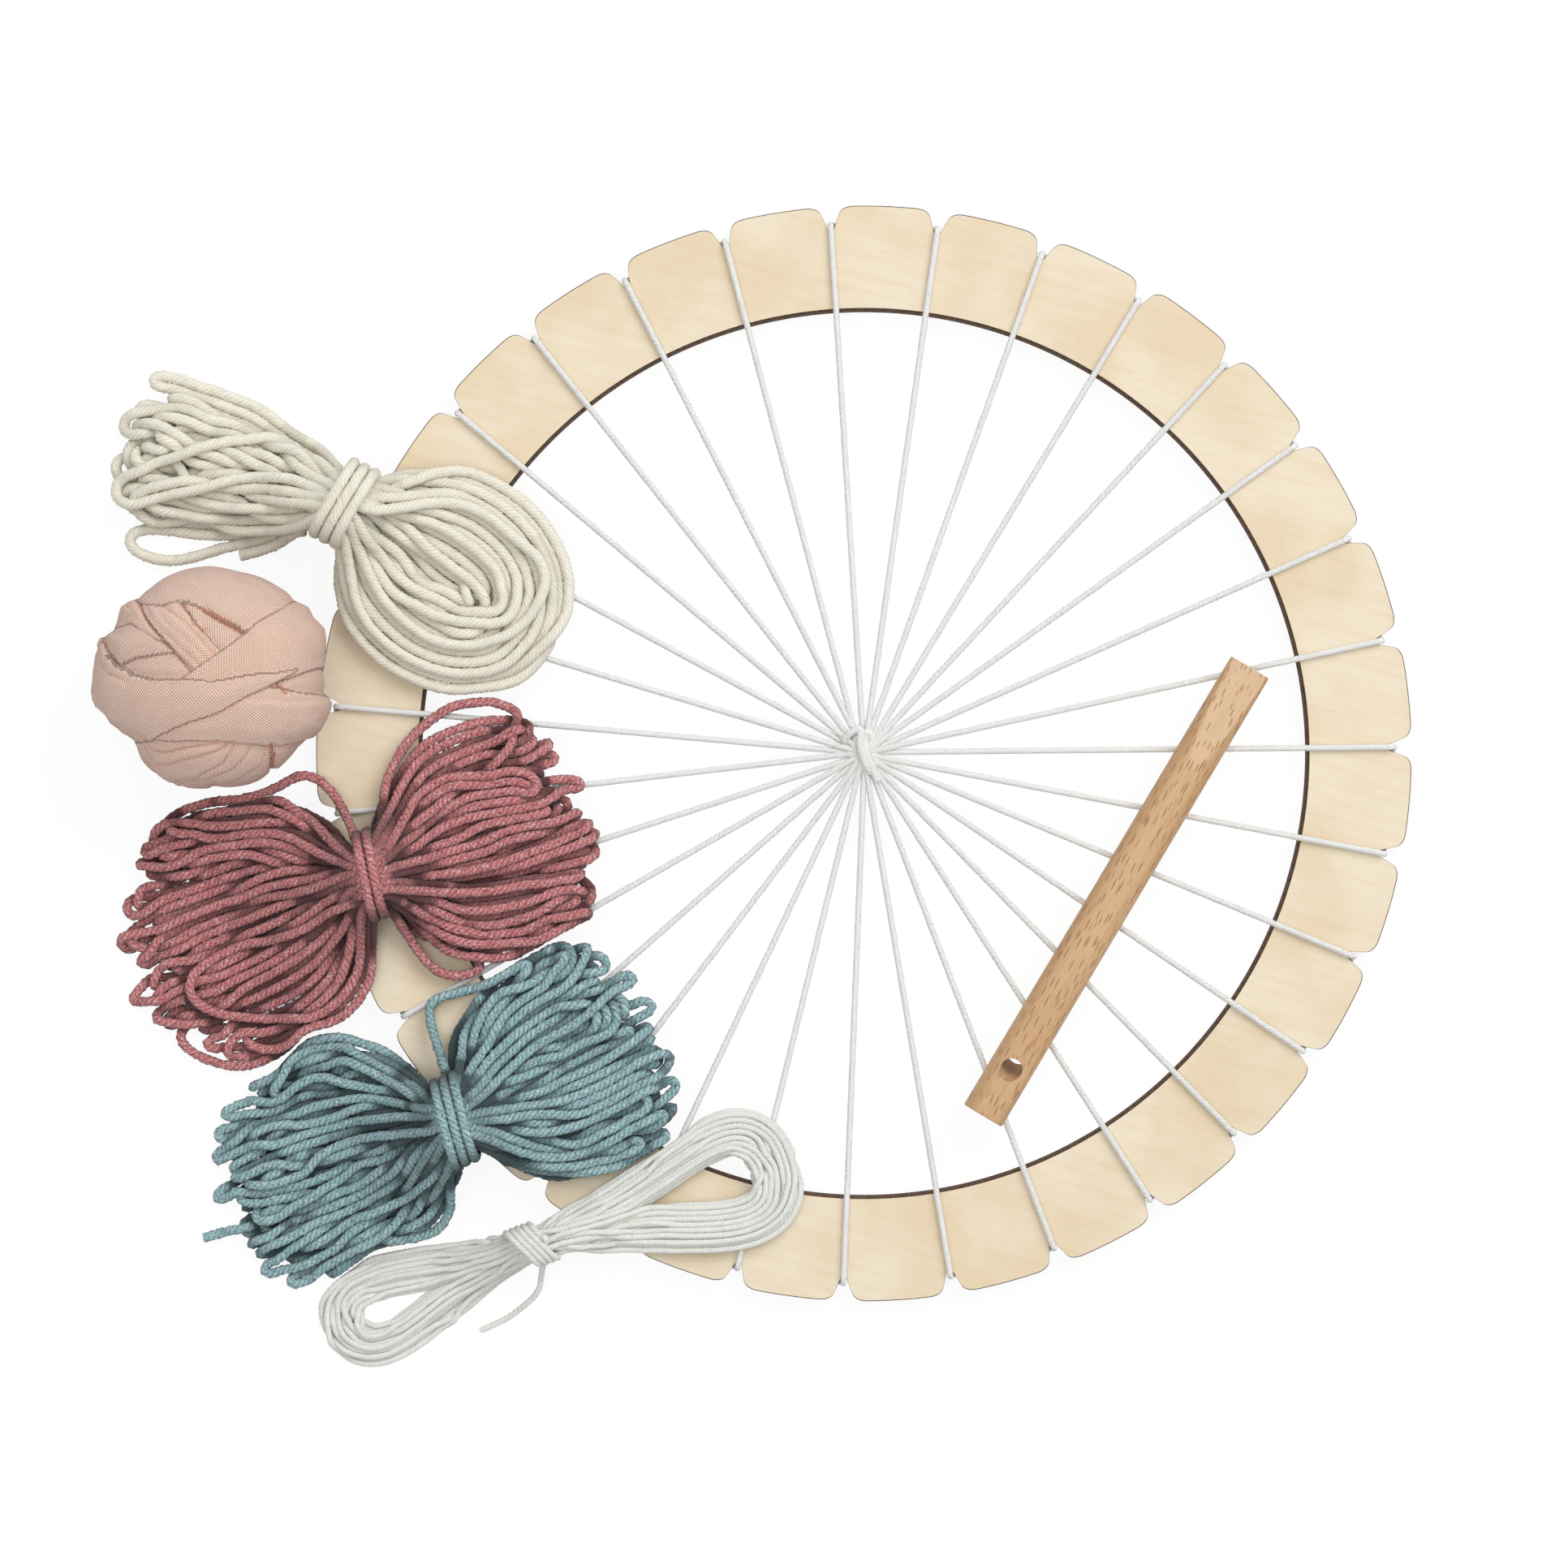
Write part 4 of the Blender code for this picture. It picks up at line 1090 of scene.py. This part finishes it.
def spoke_rows(index):
    """From the knot out over the ring and down through the notch."""
    out = toward(notch_angle(index))
    pair = index if index % 2 == 0 else index - 1
    meeting = toward(notch_angle(pair) + (TAB_STEP / 2 if pair < TABS - 1 else 0.0))
    across = np.array((meeting[1], -meeting[0], 0.0)) * (1 if index % 2 else -1)
    reach = (8.0 + 2.5 * math.sin(2.2 * pair)) * MM
    lift = 0.9 * MM * (index % 2)
    up = np.array((0, 0, 1.0))
    rows = [meeting * 0.6 * MM + up * (WARP_FRONT + 0.5 * MM + lift),
            meeting * 0.5 * reach + across * 0.45 * MM + up * (WARP_FRONT + 0.4 * MM + lift),
            meeting * reach + across * 0.85 * MM + up * (WARP_FRONT + 0.15 * MM + 0.6 * lift)]
    merge = rows[-1]
    end = out * NOTCH_FLOOR + up * WARP_FRONT
    for share in (0.06, 0.14, 0.3, 0.5, 0.7, 0.85, 0.95):
        row = merge * (1 - share) + end * share
        row[2] = WARP_FRONT
        rows.append(row)
    rows.append(end - out * 1.5 * MM)
    turn = BEND * math.sqrt(0.5)
    foot = out * (NOTCH_FLOOR + BEND)
    rows += [end, out * (NOTCH_FLOOR + turn) + up * (RING_TOP + turn), foot + up * RING_TOP,
             foot + up * RING_BOTTOM]
    behind = toward(notch_angle(warp_partner(index))) - out
    behind /= np.linalg.norm(behind)
    rows.append(foot + behind * (BEND - turn) + up * (RING_BOTTOM - turn))
    rows.append(foot + behind * BEND + up * (RING_BOTTOM - BEND))
    return rows, foot, behind


def warp_paths():
    """Each spoke, with its half of the run behind the tab; the start has its short tail."""
    paths = []
    for index in range(TABS):
        rows, foot, behind = spoke_rows(index)
        low = np.array((0, 0, RING_BOTTOM - BEND))
        if index == START_NOTCH:
            rows.append(foot + behind * 12 * MM + low)
        elif warp_partner(index) > index:
            other, other_foot, _ = spoke_rows(warp_partner(index))
            rows.append((foot + other_foot) / 2 + low)
            rows += other[::-1]
        else:
            continue
        paths.append(evenly(np.array(rows) + RING_CENTRE, 0.52 * MM, 4))
    return paths


WARP_PATHS = warp_paths()
print("warp runs:", len(WARP_PATHS), "m:", round(sum(runs_of(p)[-1] for p in WARP_PATHS), 2))

# %% [markdown]
# The knot is too small for its turns to be told apart, so four wraps over the crossing stand
# for it. They are drawn by the pixels that they pass, and rise in an arc over the strings.

# %% Knot over the crossing
# Each wrap: how high it rises in mm, and the pixels that it passes.
WRAPS = [(3.0, [(1040, 912), (1048, 903), (1060, 899), (1060, 920), (1066, 940), (1074, 952)]),
         (2.4, [(1060, 902), (1065, 916), (1071, 937), (1081, 962)]),
         (1.2, [(1050, 930), (1054, 918), (1058, 906), (1072, 904), (1076, 922)]),
         (1.0, [(1046, 925), (1056, 937), (1068, 946), (1078, 940), (1078, 924)])]


def knot_paths():
    """The wraps that gather the crossing, and the thick one over them."""
    paths = []
    for rise, pixels in WRAPS:
        rows = []
        for number, (x, y) in enumerate(pixels):
            share = number / (len(pixels) - 1)
            height = WARP_FRONT + rise * MM * math.sin(math.pi * (0.12 + 0.76 * share)) + 0.2 * MM
            rows.append((*at_pixel(x, y), height))
        paths.append(evenly(np.array(rows), 0.42 * MM, 6))
    return paths


print("wraps of the knot:", len(WRAPS))

# %% Make the warp and its knot
# The warp's grooves and the sides of its strands that face down get painted shade.
warp_finish = yarn_finish("warp cotton", srgb(254, 255, 252), srgb(255, 255, 255),
                          srgb(216, 220, 206), 1.6, 0.0, 0.3, side_shade=0.15)
warp = strand_piece("warp_string", WARP_PATHS, WARP, 3, 0.09, 4.4 * MM, warp_finish)
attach(warp, "loom")
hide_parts(*[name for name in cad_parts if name.startswith("warp_")])
knot = strand_piece("warp_knot", knot_paths(), 2.3 * MM, 3, 0.10, 5 * MM, warp_finish)
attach(knot, "loom")
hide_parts("centre_knot")

# %% [markdown]
# The needle is a beech dowel, sawn off square, with an eye for the yarn near one end and a
# flat taper at the other. Beech is pinkish brown with short dark flecks along the grain. The
# eye was drilled at a slant, so its lit wall shows from above; a Boolean modifier cuts it.

# %% Needle
NEEDLE_RADIUS = 6 * MM
NEEDLE_LENGTH = 142.3 * MM
NEEDLE_HEADING = math.radians(59.2)
NEEDLE_SEAT = RING_CENTRE + (68.8 * MM, -37.7 * MM, REST_LEVEL + NEEDLE_RADIUS)
NEEDLE_TAPER = 32 * MM
NEEDLE_TIP_HALF = 2.6 * MM
NEEDLE_SIDES = 72
EYE_RADIUS = 3 * MM
EYE_FROM_END = 14.6 * MM
EYE_SLANT = math.radians(24)


def beech_finish():
    finish = Finish("beech", srgb(212, 174, 132), 0.55)
    centre = NEEDLE_SEAT.tolist()
    fine = finish.noise(finish.place(NEEDLE_HEADING, (0.06, 1.9, 1.9), centre), 1.0, 3.0, 0.6)
    bands = finish.noise(finish.place(NEEDLE_HEADING, (0.015, 0.28, 0.28), centre), 1.0, 2.0)
    cells = finish.place(NEEDLE_HEADING + 0.08, (0.16, 1.3, 1.3), centre)
    cells = {"Vector": cells, "Scale": 1.0, "Randomness": 0.85}
    flecks = finish.node("ShaderNodeTexVoronoi", cells, output="Distance").fit(0.36, 0.22)
    facet = finish.attribute("facet")
    finish.set("Base Color", finish.layers(
        srgb(211, 174, 132), (bands.fit(0.35, 0.68), srgb(198, 158, 114)),
        (fine.fit(0.42, 0.72) * 0.4, srgb(184, 142, 100)), (facet * 0.5, srgb(218, 188, 156)),
        (flecks * 0.7, srgb(150, 96, 62))))
    finish.set("Normal", finish.bump(fine, 0.05 * MM, 0.5))
    return finish


def needle_body():
    """The tapered dowel as a bmesh along X; "facet" is 1 on the flat of the taper."""
    half = NEEDLE_LENGTH / 2
    slope = (NEEDLE_RADIUS - NEEDLE_TIP_HALF) / NEEDLE_TAPER
    # Each stop: a place along the dowel, and how much in mm its edge is rounded off there.
    stops = [(-half, 0.25), (-half + 0.12 * MM, 0.08), (-half + 0.35 * MM, 0)]
    stops += [(x, 0) for x in np.linspace(-half + 4 * MM, half - NEEDLE_TAPER - 1 * MM, 26)]
    stops += [(x, 0) for x in np.linspace(half - NEEDLE_TAPER + 1 * MM, half - 0.35 * MM, 16)]
    stops += [(half - 0.12 * MM, 0.08), (half, 0.2)]
    bm = bmesh.new()
    facet = bm.verts.layers.float.new("facet")
    rings = []
    for x, rounded in stops:
        ring = []
        radius = NEEDLE_RADIUS - rounded * MM
        allowed = NEEDLE_TIP_HALF + slope * (half - x)
        for i in range(NEEDLE_SIDES):
            angle = 2 * math.pi * i / NEEDLE_SIDES
            y, z = radius * math.cos(angle), radius * math.sin(angle)
            ring.append(bm.verts.new((x, y, max(-allowed, min(allowed, z)))))
            ring[-1][facet] = float(z > allowed)
        rings.append(ring)
    for near, far in zip(rings[:-1], rings[1:]):
        for i in range(NEEDLE_SIDES):
            j = (i + 1) % NEEDLE_SIDES
            bm.faces.new((near[i], far[i], far[j], near[j]))
    bm.faces.new(rings[0])
    bm.faces.new(rings[-1][::-1])
    bmesh.ops.recalc_face_normals(bm, faces=bm.faces)
    return bm


def make_needle():
    place = Matrix.Translation(NEEDLE_SEAT.tolist()) @ Matrix.Rotation(NEEDLE_HEADING, 4, "Z")
    body = needle_body()
    body.transform(place)
    needle = shown("beech_needle", body)
    drill = bmesh.new()
    bmesh.ops.create_cone(drill, cap_ends=True, segments=48, radius1=EYE_RADIUS,
                          radius2=EYE_RADIUS, depth=4 * NEEDLE_RADIUS)
    middle = EYE_FROM_END - NEEDLE_LENGTH / 2 + NEEDLE_RADIUS * math.tan(EYE_SLANT)
    slanted = Matrix.Translation((middle, 0, 0)) @ Matrix.Rotation(-EYE_SLANT, 4, "Y")
    drill.transform(place @ slanted)
    drill = shown("drill", drill)
    cut = needle.modifiers.new("eye", "BOOLEAN")
    cut.solver = "EXACT"
    cut.operation = "DIFFERENCE"
    cut.object = drill
    needle = plain_mesh(needle)
    bpy.data.objects.remove(drill, do_unlink=True)
    needle.data.materials.clear()
    needle.data.materials.append(beech_finish().material)
    needle.data.shade_smooth()
    needle.data.set_sharp_from_angle(angle=math.radians(28))
    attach(needle, "needle")
    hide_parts("needle")
    print("needle faces:", len(needle.data.polygons))


make_needle()

# %% [markdown]
# The ball is a knitted ribbon that was wound up by hand. Each turn is a flat band over earlier
# ones, so the bands are pressed into a fine sphere in the order in which they were wound: a
# band lifts the surface a little, and along its border shade is painted into the fold in what
# lies under it.
# The outlines are drawn in the photograph's pixels, and go on past the visible half as if the
# paper behind it were wrapped round the ball. A cloth simulation of a winding would take
# minutes and wouldn't give these bands.

# %% Outline and bands of the ball
BALL_PIXEL = np.array((269.8, 838.0))
BALL_HALF = BALL_SIZE / 2
BALL_OUTLINE = np.array([
    (265, 698), (304, 706), (330, 713), (352, 725), (371, 738), (386, 749), (392, 762),
    (406, 776), (408, 790), (406, 811), (413, 839), (415, 857), (421, 868), (413, 884),
    (408, 902), (396, 915), (379, 928), (363, 945), (345, 960), (314, 974), (273, 978),
    (243, 979), (212, 973), (192, 960), (177, 941), (171, 923), (159, 911), (147, 902),
    (137, 896), (126, 878), (122, 864), (124, 839), (126, 819), (127, 794), (132, 782),
    (141, 774), (147, 762), (155, 743), (167, 736), (175, 736), (192, 725), (212, 711),
    (236, 702)])

# Each band: how high it lies in mm, a pixel on its middle line, its heading, its outline.
BANDS = [
    (0.3, (384, 845), (1, 0.05), [
        (332, 858), (345, 845), (365, 835), (392, 820), (404, 808), (470, 790), (475, 862),
        (414, 862), (365, 860)]),
    (0.3, (365, 940), (0.7, -0.7), [
        (347, 922), (400, 910), (480, 930), (440, 1040), (345, 1040), (345, 965)]),
    (0.5, (250, 950), (1, -0.35), [
        (150, 905), (198, 915), (232, 917), (283, 915), (314, 921), (352, 926), (349, 965),
        (345, 1040), (190, 1040), (120, 960)]),
    (0.7, (160, 905), (0.8, 0.6), [
        (80, 840), (125, 855), (147, 893), (169, 907), (200, 917), (182, 924), (160, 930),
        (90, 940)]),
    (0.3, (205, 822), (1, 0.1), [
        (140, 815), (153, 821), (177, 811), (208, 805), (228, 803), (252, 829), (240, 845),
        (208, 845), (177, 842)]),
    (0.8, (165, 790), (0.9, -0.2), [
        (80, 775), (144, 770), (169, 767), (196, 781), (224, 800), (230, 805), (208, 805),
        (177, 811), (153, 822), (134, 800), (90, 790)]),
    (0.9, (180, 762), (0.6, 0.7), [
        (90, 690), (150, 725), (167, 733), (177, 741), (196, 768), (228, 802), (196, 782),
        (169, 768), (144, 772), (80, 770)]),
    (0.5, (280, 775), (0.75, 0.6), [
        (228, 738), (265, 745), (294, 760), (322, 782), (285, 808), (260, 776), (243, 755)]),
    (1.0, (225, 780), (0.7, 0.75), [
        (172, 737), (200, 736), (232, 740), (246, 756), (262, 775), (286, 803), (279, 812),
        (251, 833), (224, 801), (196, 768)]),
    (1.3, (275, 728), (1, 0.25), [
        (150, 728), (173, 738), (206, 742), (230, 740), (243, 743), (265, 749), (294, 764),
        (318, 780), (345, 770), (385, 730), (450, 640), (270, 580), (110, 640)]),
    (1.1, (320, 900), (1, -0.12), [
        (190, 915), (220, 900), (253, 888), (283, 875), (314, 858), (345, 848), (365, 850),
        (385, 857), (414, 861), (475, 852), (490, 910), (408, 904), (396, 915), (375, 923),
        (345, 926), (314, 923), (283, 917), (232, 919), (198, 917)]),
    (1.5, (330, 790), (0.8, -0.6), [
        (400, 712), (371, 740), (341, 763), (314, 784), (279, 808), (251, 831), (236, 842),
        (279, 852), (314, 850), (355, 844), (392, 832), (475, 805), (480, 690)]),
    (1.9, (255, 866), (1, -0.08), [
        (80, 768), (131, 783), (135, 799), (141, 812), (153, 823), (177, 835), (208, 839),
        (243, 841), (279, 841), (314, 837), (355, 831), (384, 825), (380, 830), (365, 837),
        (345, 849), (314, 864), (283, 880), (253, 892), (220, 905), (196, 915), (169, 907),
        (147, 893), (128, 874), (80, 862)]),
]

# Folds inside the bands, dented in and with painted shade: how deep in mm, then the pixels that
# they pass.
FOLDS = [
    (0.9, [(175, 740), (192, 762), (216, 795), (251, 828)]),
    (0.5, [(183, 740), (206, 768), (232, 798), (262, 824)]),
    (0.4, [(198, 742), (224, 772), (248, 795), (271, 816)]),
    (0.7, [(208, 743), (240, 766), (262, 790), (277, 808)]),
    (1.0, [(232, 743), (246, 755), (253, 770), (263, 776)]),
    (0.4, [(263, 776), (276, 787), (290, 803)]), (1.1, [(262, 747), (294, 764), (318, 781)]),
    (0.3, [(292, 702), (322, 717), (345, 733), (361, 747)]),
    (0.8, [(180, 923), (190, 930), (212, 932), (243, 928), (284, 921)]),
    (1.2, [(362, 843), (364, 850), (367, 857)]),
    (0.8, [(181, 931), (196, 945), (216, 947), (253, 939), (284, 929), (300, 922)]),
    (0.8, [(185, 947), (198, 958), (220, 968), (253, 964), (284, 947), (304, 925)]),
    (0.6, [(232, 972), (269, 966), (300, 953), (326, 928)]),
    (0.6, [(269, 977), (304, 968), (330, 953), (345, 929)]),
    (1.2, [(349, 925), (350, 945), (347, 964)]),
    (0.5, [(126, 800), (131, 815), (146, 832), (170, 843)]),
    (0.3, [(410, 866), (380, 868), (350, 866), (320, 868)]),
    (0.4, [(155, 742), (170, 752), (186, 768)]),
]
print("bands:", len(BANDS), "folds:", len(FOLDS))

# %% [markdown]
# Whether a place lies in a band, and how far from its border, is worked out for all places at
# once with numpy: from the distance to each stretch of the outline, and from how often a line
# to the side crosses the outline.

# %% Distances to the drawn lines
def line_distance(places, line):
    """Distance of each place to a line of corners, its side, and the share of the run there."""
    best = np.full(len(places), np.inf)
    side, passed = np.zeros(len(places)), np.zeros(len(places))
    run = 0.0
    for start, end in zip(line[:-1], line[1:]):
        span = end - start
        from_start = places - start
        share = np.clip(from_start @ span / (span @ span), 0, 1)
        distance = np.linalg.norm(from_start - share[:, None] * span, axis=1)
        cross = span[0] * from_start[:, 1] - span[1] * from_start[:, 0]
        nearer = distance < best
        side = np.where(nearer, np.sign(cross), side)
        passed = np.where(nearer, run + share * np.linalg.norm(span), passed)
        best = np.minimum(best, distance)
        run += np.linalg.norm(span)
    return best, side, passed / run


def inside_distance(places, outline):
    """Distance to a closed outline, above 0 inside it."""
    closed = np.vstack([outline, outline[:1]])
    distance = line_distance(places, closed)[0]
    crossings = np.zeros(len(places), dtype=int)
    for (x0, y0), (x1, y1) in zip(closed[:-1], closed[1:]):
        spans = (y0 > places[:, 1]) != (y1 > places[:, 1])
        at = x0 + (places[:, 1] - y0) * (x1 - x0) / (y1 - y0 if y1 != y0 else 1e-9)
        crossings += spans & (places[:, 0] < at)
    return np.where(crossings % 2 == 1, distance, -distance)


def stitch_place(normals, middle, heading):
    """Run and width in mm on a band that follows a great circle through that pixel."""
    x, y = (np.array(middle) - BALL_PIXEL) * (1, -1) * PIXEL / BALL_HALF[:2]
    centre = np.array((x, y, math.sqrt(max(0.05, 1 - x * x - y * y))))
    centre /= np.linalg.norm(centre)
    along = np.array((heading[0], -heading[1], 0.0))
    along -= centre * (along @ centre)
    along /= np.linalg.norm(along)
    across = np.cross(centre, along)
    size = BALL_HALF.mean() / MM
    return (np.arctan2(normals @ along, normals @ centre) * size,
            np.arcsin(np.clip(normals @ across, -1, 1)) * size)


reach = inside_distance(BALL_PIXEL[None], BALL_OUTLINE)[0]
print("from the ball's middle to its outline, mm:", round(reach * PIXEL / MM, 1))

# %% [markdown]
# The bands are laid one after the other. Each covers what is under it with its own height,
# its own rows of stitches and its own tone, and paints shade into the fold along its border.

# %% The wound surface
def wound_surface(normals):
    """For each direction: height in mm, painted shade in the creases, run and width of the
    stitches, and tone.
    """
    flat = np.linalg.norm(normals[:, :2], axis=1)
    outward = np.where(normals[:, 2] < 0, 2 - flat, flat) / np.maximum(flat, 1e-6)
    plan = normals[:, :2] * outward[:, None] * BALL_HALF[:2] / PIXEL * (1, -1) + BALL_PIXEL
    wander = np.column_stack([np.sin(plan[:, 1] / 11 + 1.3), np.cos(plan[:, 0] / 13 + 0.4)])
    plan = plan + wander * 1.2
    run, width = stitch_place(normals, (240, 1010), (1, -0.5))
    pleat = np.abs((width / 8 + 0.1 * np.sin(run / 9)) % 1 - 0.5)
    height = 0.3 * np.sin(math.pi * pleat)
    # Painted shade along each pleat of the ribbon below the bands.
    fold = 0.8 * np.exp(-(pleat / 0.06) ** 2)
    tone = np.zeros(len(normals))
    for number, (level, middle, heading, outline) in enumerate(BANDS):
        inside = inside_distance(plan, np.array(outline, dtype=float)) * PIXEL / MM
        cover = smooth((inside + 0.3) / 0.7)
        crown = 0.8 * smooth(inside / 5)
        height = height * (1 - cover) + (1.5 * level + crown) * cover
        # Painted shade along the band's border, in what lies under it.
        fold = np.maximum(fold * (1 - cover), 0.55 * np.exp(-((inside + 0.3) / 0.45) ** 2))
        band_run, band_width = stitch_place(normals, middle, heading)
        run = np.where(inside > 0, band_run, run)
        width = np.where(inside > 0, band_width, width)
        tone = tone * (1 - cover) + cover * math.sin(2.4 * number)
    for depth, line in FOLDS:
        distance, side, share = line_distance(plan, np.array(line, dtype=float))
        distance = distance * PIXEL / MM
        ends = smooth(4 * share) * smooth(4 - 4 * share)
        height -= depth * 0.9 * np.exp(-(distance / 0.7) ** 2)
        height += ends * depth * 0.8 * np.exp(-(distance / 2.4) ** 2) * (side < 0)
        # Painted shade along each fold.
        fold = np.maximum(fold, min(0.9, 0.15 + 0.65 * depth) * np.exp(-(distance / 0.42) ** 2))
    return height, fold, run, width, tone


def outline_scale(normals):
    """How far the ball's drawn outline stands out from the plain ellipse, per direction."""
    spokes = (BALL_OUTLINE - BALL_PIXEL) * (1, -1) * PIXEL / BALL_HALF[:2]
    angle = np.arctan2(spokes[:, 1], spokes[:, 0])
    order = np.argsort(angle)
    reach = np.linalg.norm(spokes, axis=1)[order]
    at = np.arctan2(normals[:, 1], normals[:, 0])
    scale = np.interp(at, angle[order], reach, period=2 * math.pi)
    flat = np.linalg.norm(normals[:, :2], axis=1)
    return 1 + (scale - 1) * flat ** 3


print("height on top, mm:", round(wound_surface(np.array([(0.0, 0.0, 1.0)]))[0][0], 2))

# %% [markdown]
# The ribbon is a fine knit: pale stitches in staggered rows, with a warmer peach between them.
# Two cosines of the stored run and width give that pattern at its real size, 0.8 mm a stitch.

# %% Ribbon finish
STITCH_LENGTH = 0.82
STITCH_WIDTH = 1.06


def ribbon_finish():
    finish = Finish("peach knit ribbon", srgb(232, 188, 168), 0.75, Sheen_Weight=0.25,
                    Sheen_Roughness=0.5)
    run, width, fold, tone = (finish.attribute(key) for key in ("run", "width", "fold", "tone"))
    stitch = (finish.scalar("COSINE", run * (2 * math.pi / STITCH_LENGTH))
              * finish.scalar("COSINE", width * (2 * math.pi / STITCH_WIDTH)))
    cloud = finish.noise(finish.place(), 0.12, 2.0)
    # The height in mm sets the painted shade that darkens the ball towards its foot.
    height = finish.node("ShaderNodeSeparateXYZ", {"Vector": finish.place()}, output="Z")
    finish.set("Base Color", finish.layers(
        srgb(220, 160, 129), (stitch.fit(-0.5, 0.55), srgb(254, 239, 227)),
        (tone.fit(0.2, 1.0) * 0.3, srgb(238, 198, 174)),
        (cloud.fit(0.45, 0.75) * 0.25, srgb(220, 180, 160)),
        # Painted shade in the creases and folds.
        (fold.fit(0.1, 0.95) * 0.85, srgb(196, 112, 78)),
        # Painted shade: the ball darker towards its foot, where its sides turn from the light.
        (height.fit(50, 22) * 0.4, srgb(160, 112, 92))))
    finish.set("Normal", finish.bump(stitch * (1.0 - fold), 0.2 * MM, 0.9))
    return finish


print("stitches on 10 mm of ribbon:", round(10 / STITCH_LENGTH))

# %% Make the ball
UPPER_BANDS = 3.2 * MM
PRESSED_FLAT = 0.5 * MM


def make_ball():
    """A fine sphere whose upper bands reach the ball's size; its foot is pressed flat."""
    bm = bmesh.new()
    bmesh.ops.create_icosphere(bm, subdivisions=7, radius=1.0)
    normals = np.array([v.co for v in bm.verts])
    normals /= np.linalg.norm(normals, axis=1)[:, None]
    height, fold, run, width, tone = wound_surface(normals)
    places = normals * (BALL_HALF - UPPER_BANDS + height[:, None] * MM)
    places[:, :2] *= outline_scale(normals)[:, None]
    places += (*BALL_MIDDLE, BALL_HALF[2] - PRESSED_FLAT)
    places[:, 2] = np.maximum(places[:, 2], 0.0)
    for vert, place in zip(bm.verts, places):
        vert.co = place
    ball = shown("knit_ribbon_ball", bm)
    keep_values(ball.data, fold=fold, run=run, width=width, tone=tone)
    ball.data.materials.append(ribbon_finish().material)
    ball.data.shade_smooth()
    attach(ball, "ribbon_ball")
    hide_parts("ribbon_ball")
    print("ball faces:", len(ball.data.polygons),
          "size, mm:", np.round(np.ptp(places, axis=0) / MM, 1))


make_ball()

# %% [markdown]
# The studio is a plain white sheet under soft light. The sheet glows a little towards the
# camera, so that it looks white as in the photograph and still keeps a faint shadow. The key
# light comes from the upper right of the picture, as the shaded sides of the pieces show.

# %% Floor and light
FLOOR_LEVEL = -0.3 * MM
AMBIENT = 0.48
SHEET_GLOW = 1.05
GLOW_SHARE = 0.86


def seen_directly(graph):
    """1 for the rays of the camera, a reflection or glass, 0 for the light on other things."""
    rays = graph.node("ShaderNodeLightPath", output="Is Camera Ray")
    for name in ("Is Glossy Ray", "Is Transmission Ray"):
        rays = graph.scalar("MAXIMUM", rays, graph.node("ShaderNodeLightPath", output=name))
    return rays


def make_floor():
    bm = bmesh.new()
    bmesh.ops.create_grid(bm, x_segments=1, y_segments=1, size=4.0)
    floor = shown("floor", bm)
    floor.location.z = FLOOR_LEVEL
    finish = Finish("white paper", (0.82, 0.82, 0.82), 0.9)
    glow = {"Color": (1, 1, 1, 1), "Strength": SHEET_GLOW}
    glow = finish.node("ShaderNodeEmission", glow)
    paper = Signal(finish, finish.shader.outputs[0])
    mixed = finish.node("ShaderNodeMixShader",
                        {0: seen_directly(finish) * GLOW_SHARE, 1: paper, 2: glow})
    surface = finish.tree.nodes["Material Output"].inputs["Surface"]
    finish.tree.links.new(mixed.socket, surface)
    floor.data.materials.append(finish.material)


def soft_lamp(name, place, size, power):
    lamp = bpy.data.lights.new(name, "AREA")
    lamp.shape = "DISK"
    lamp.size = size
    lamp.energy = power
    holder = put_in_scene(name, lamp)
    holder.location = place
    holder.rotation_euler = (-Vector(place)).to_track_quat("-Z", "Y").to_euler()


make_floor()
soft_lamp("key", (1.3, 1.5, 2.1), 2.4, 47)
soft_lamp("fill", (-0.5, -0.2, 2.6), 1.6, 15)
world = bpy.data.worlds.new("studio")
world.use_nodes = True
sky = Graph(world.node_tree)
background = world.node_tree.nodes["Background"]
background.inputs["Color"].default_value = (1, 1, 1, 1)
sky.feed(background.inputs["Strength"], AMBIENT + seen_directly(sky) * (1 - AMBIENT))
bpy.context.scene.world = world
bpy.context.scene.view_settings.view_transform = "Standard"
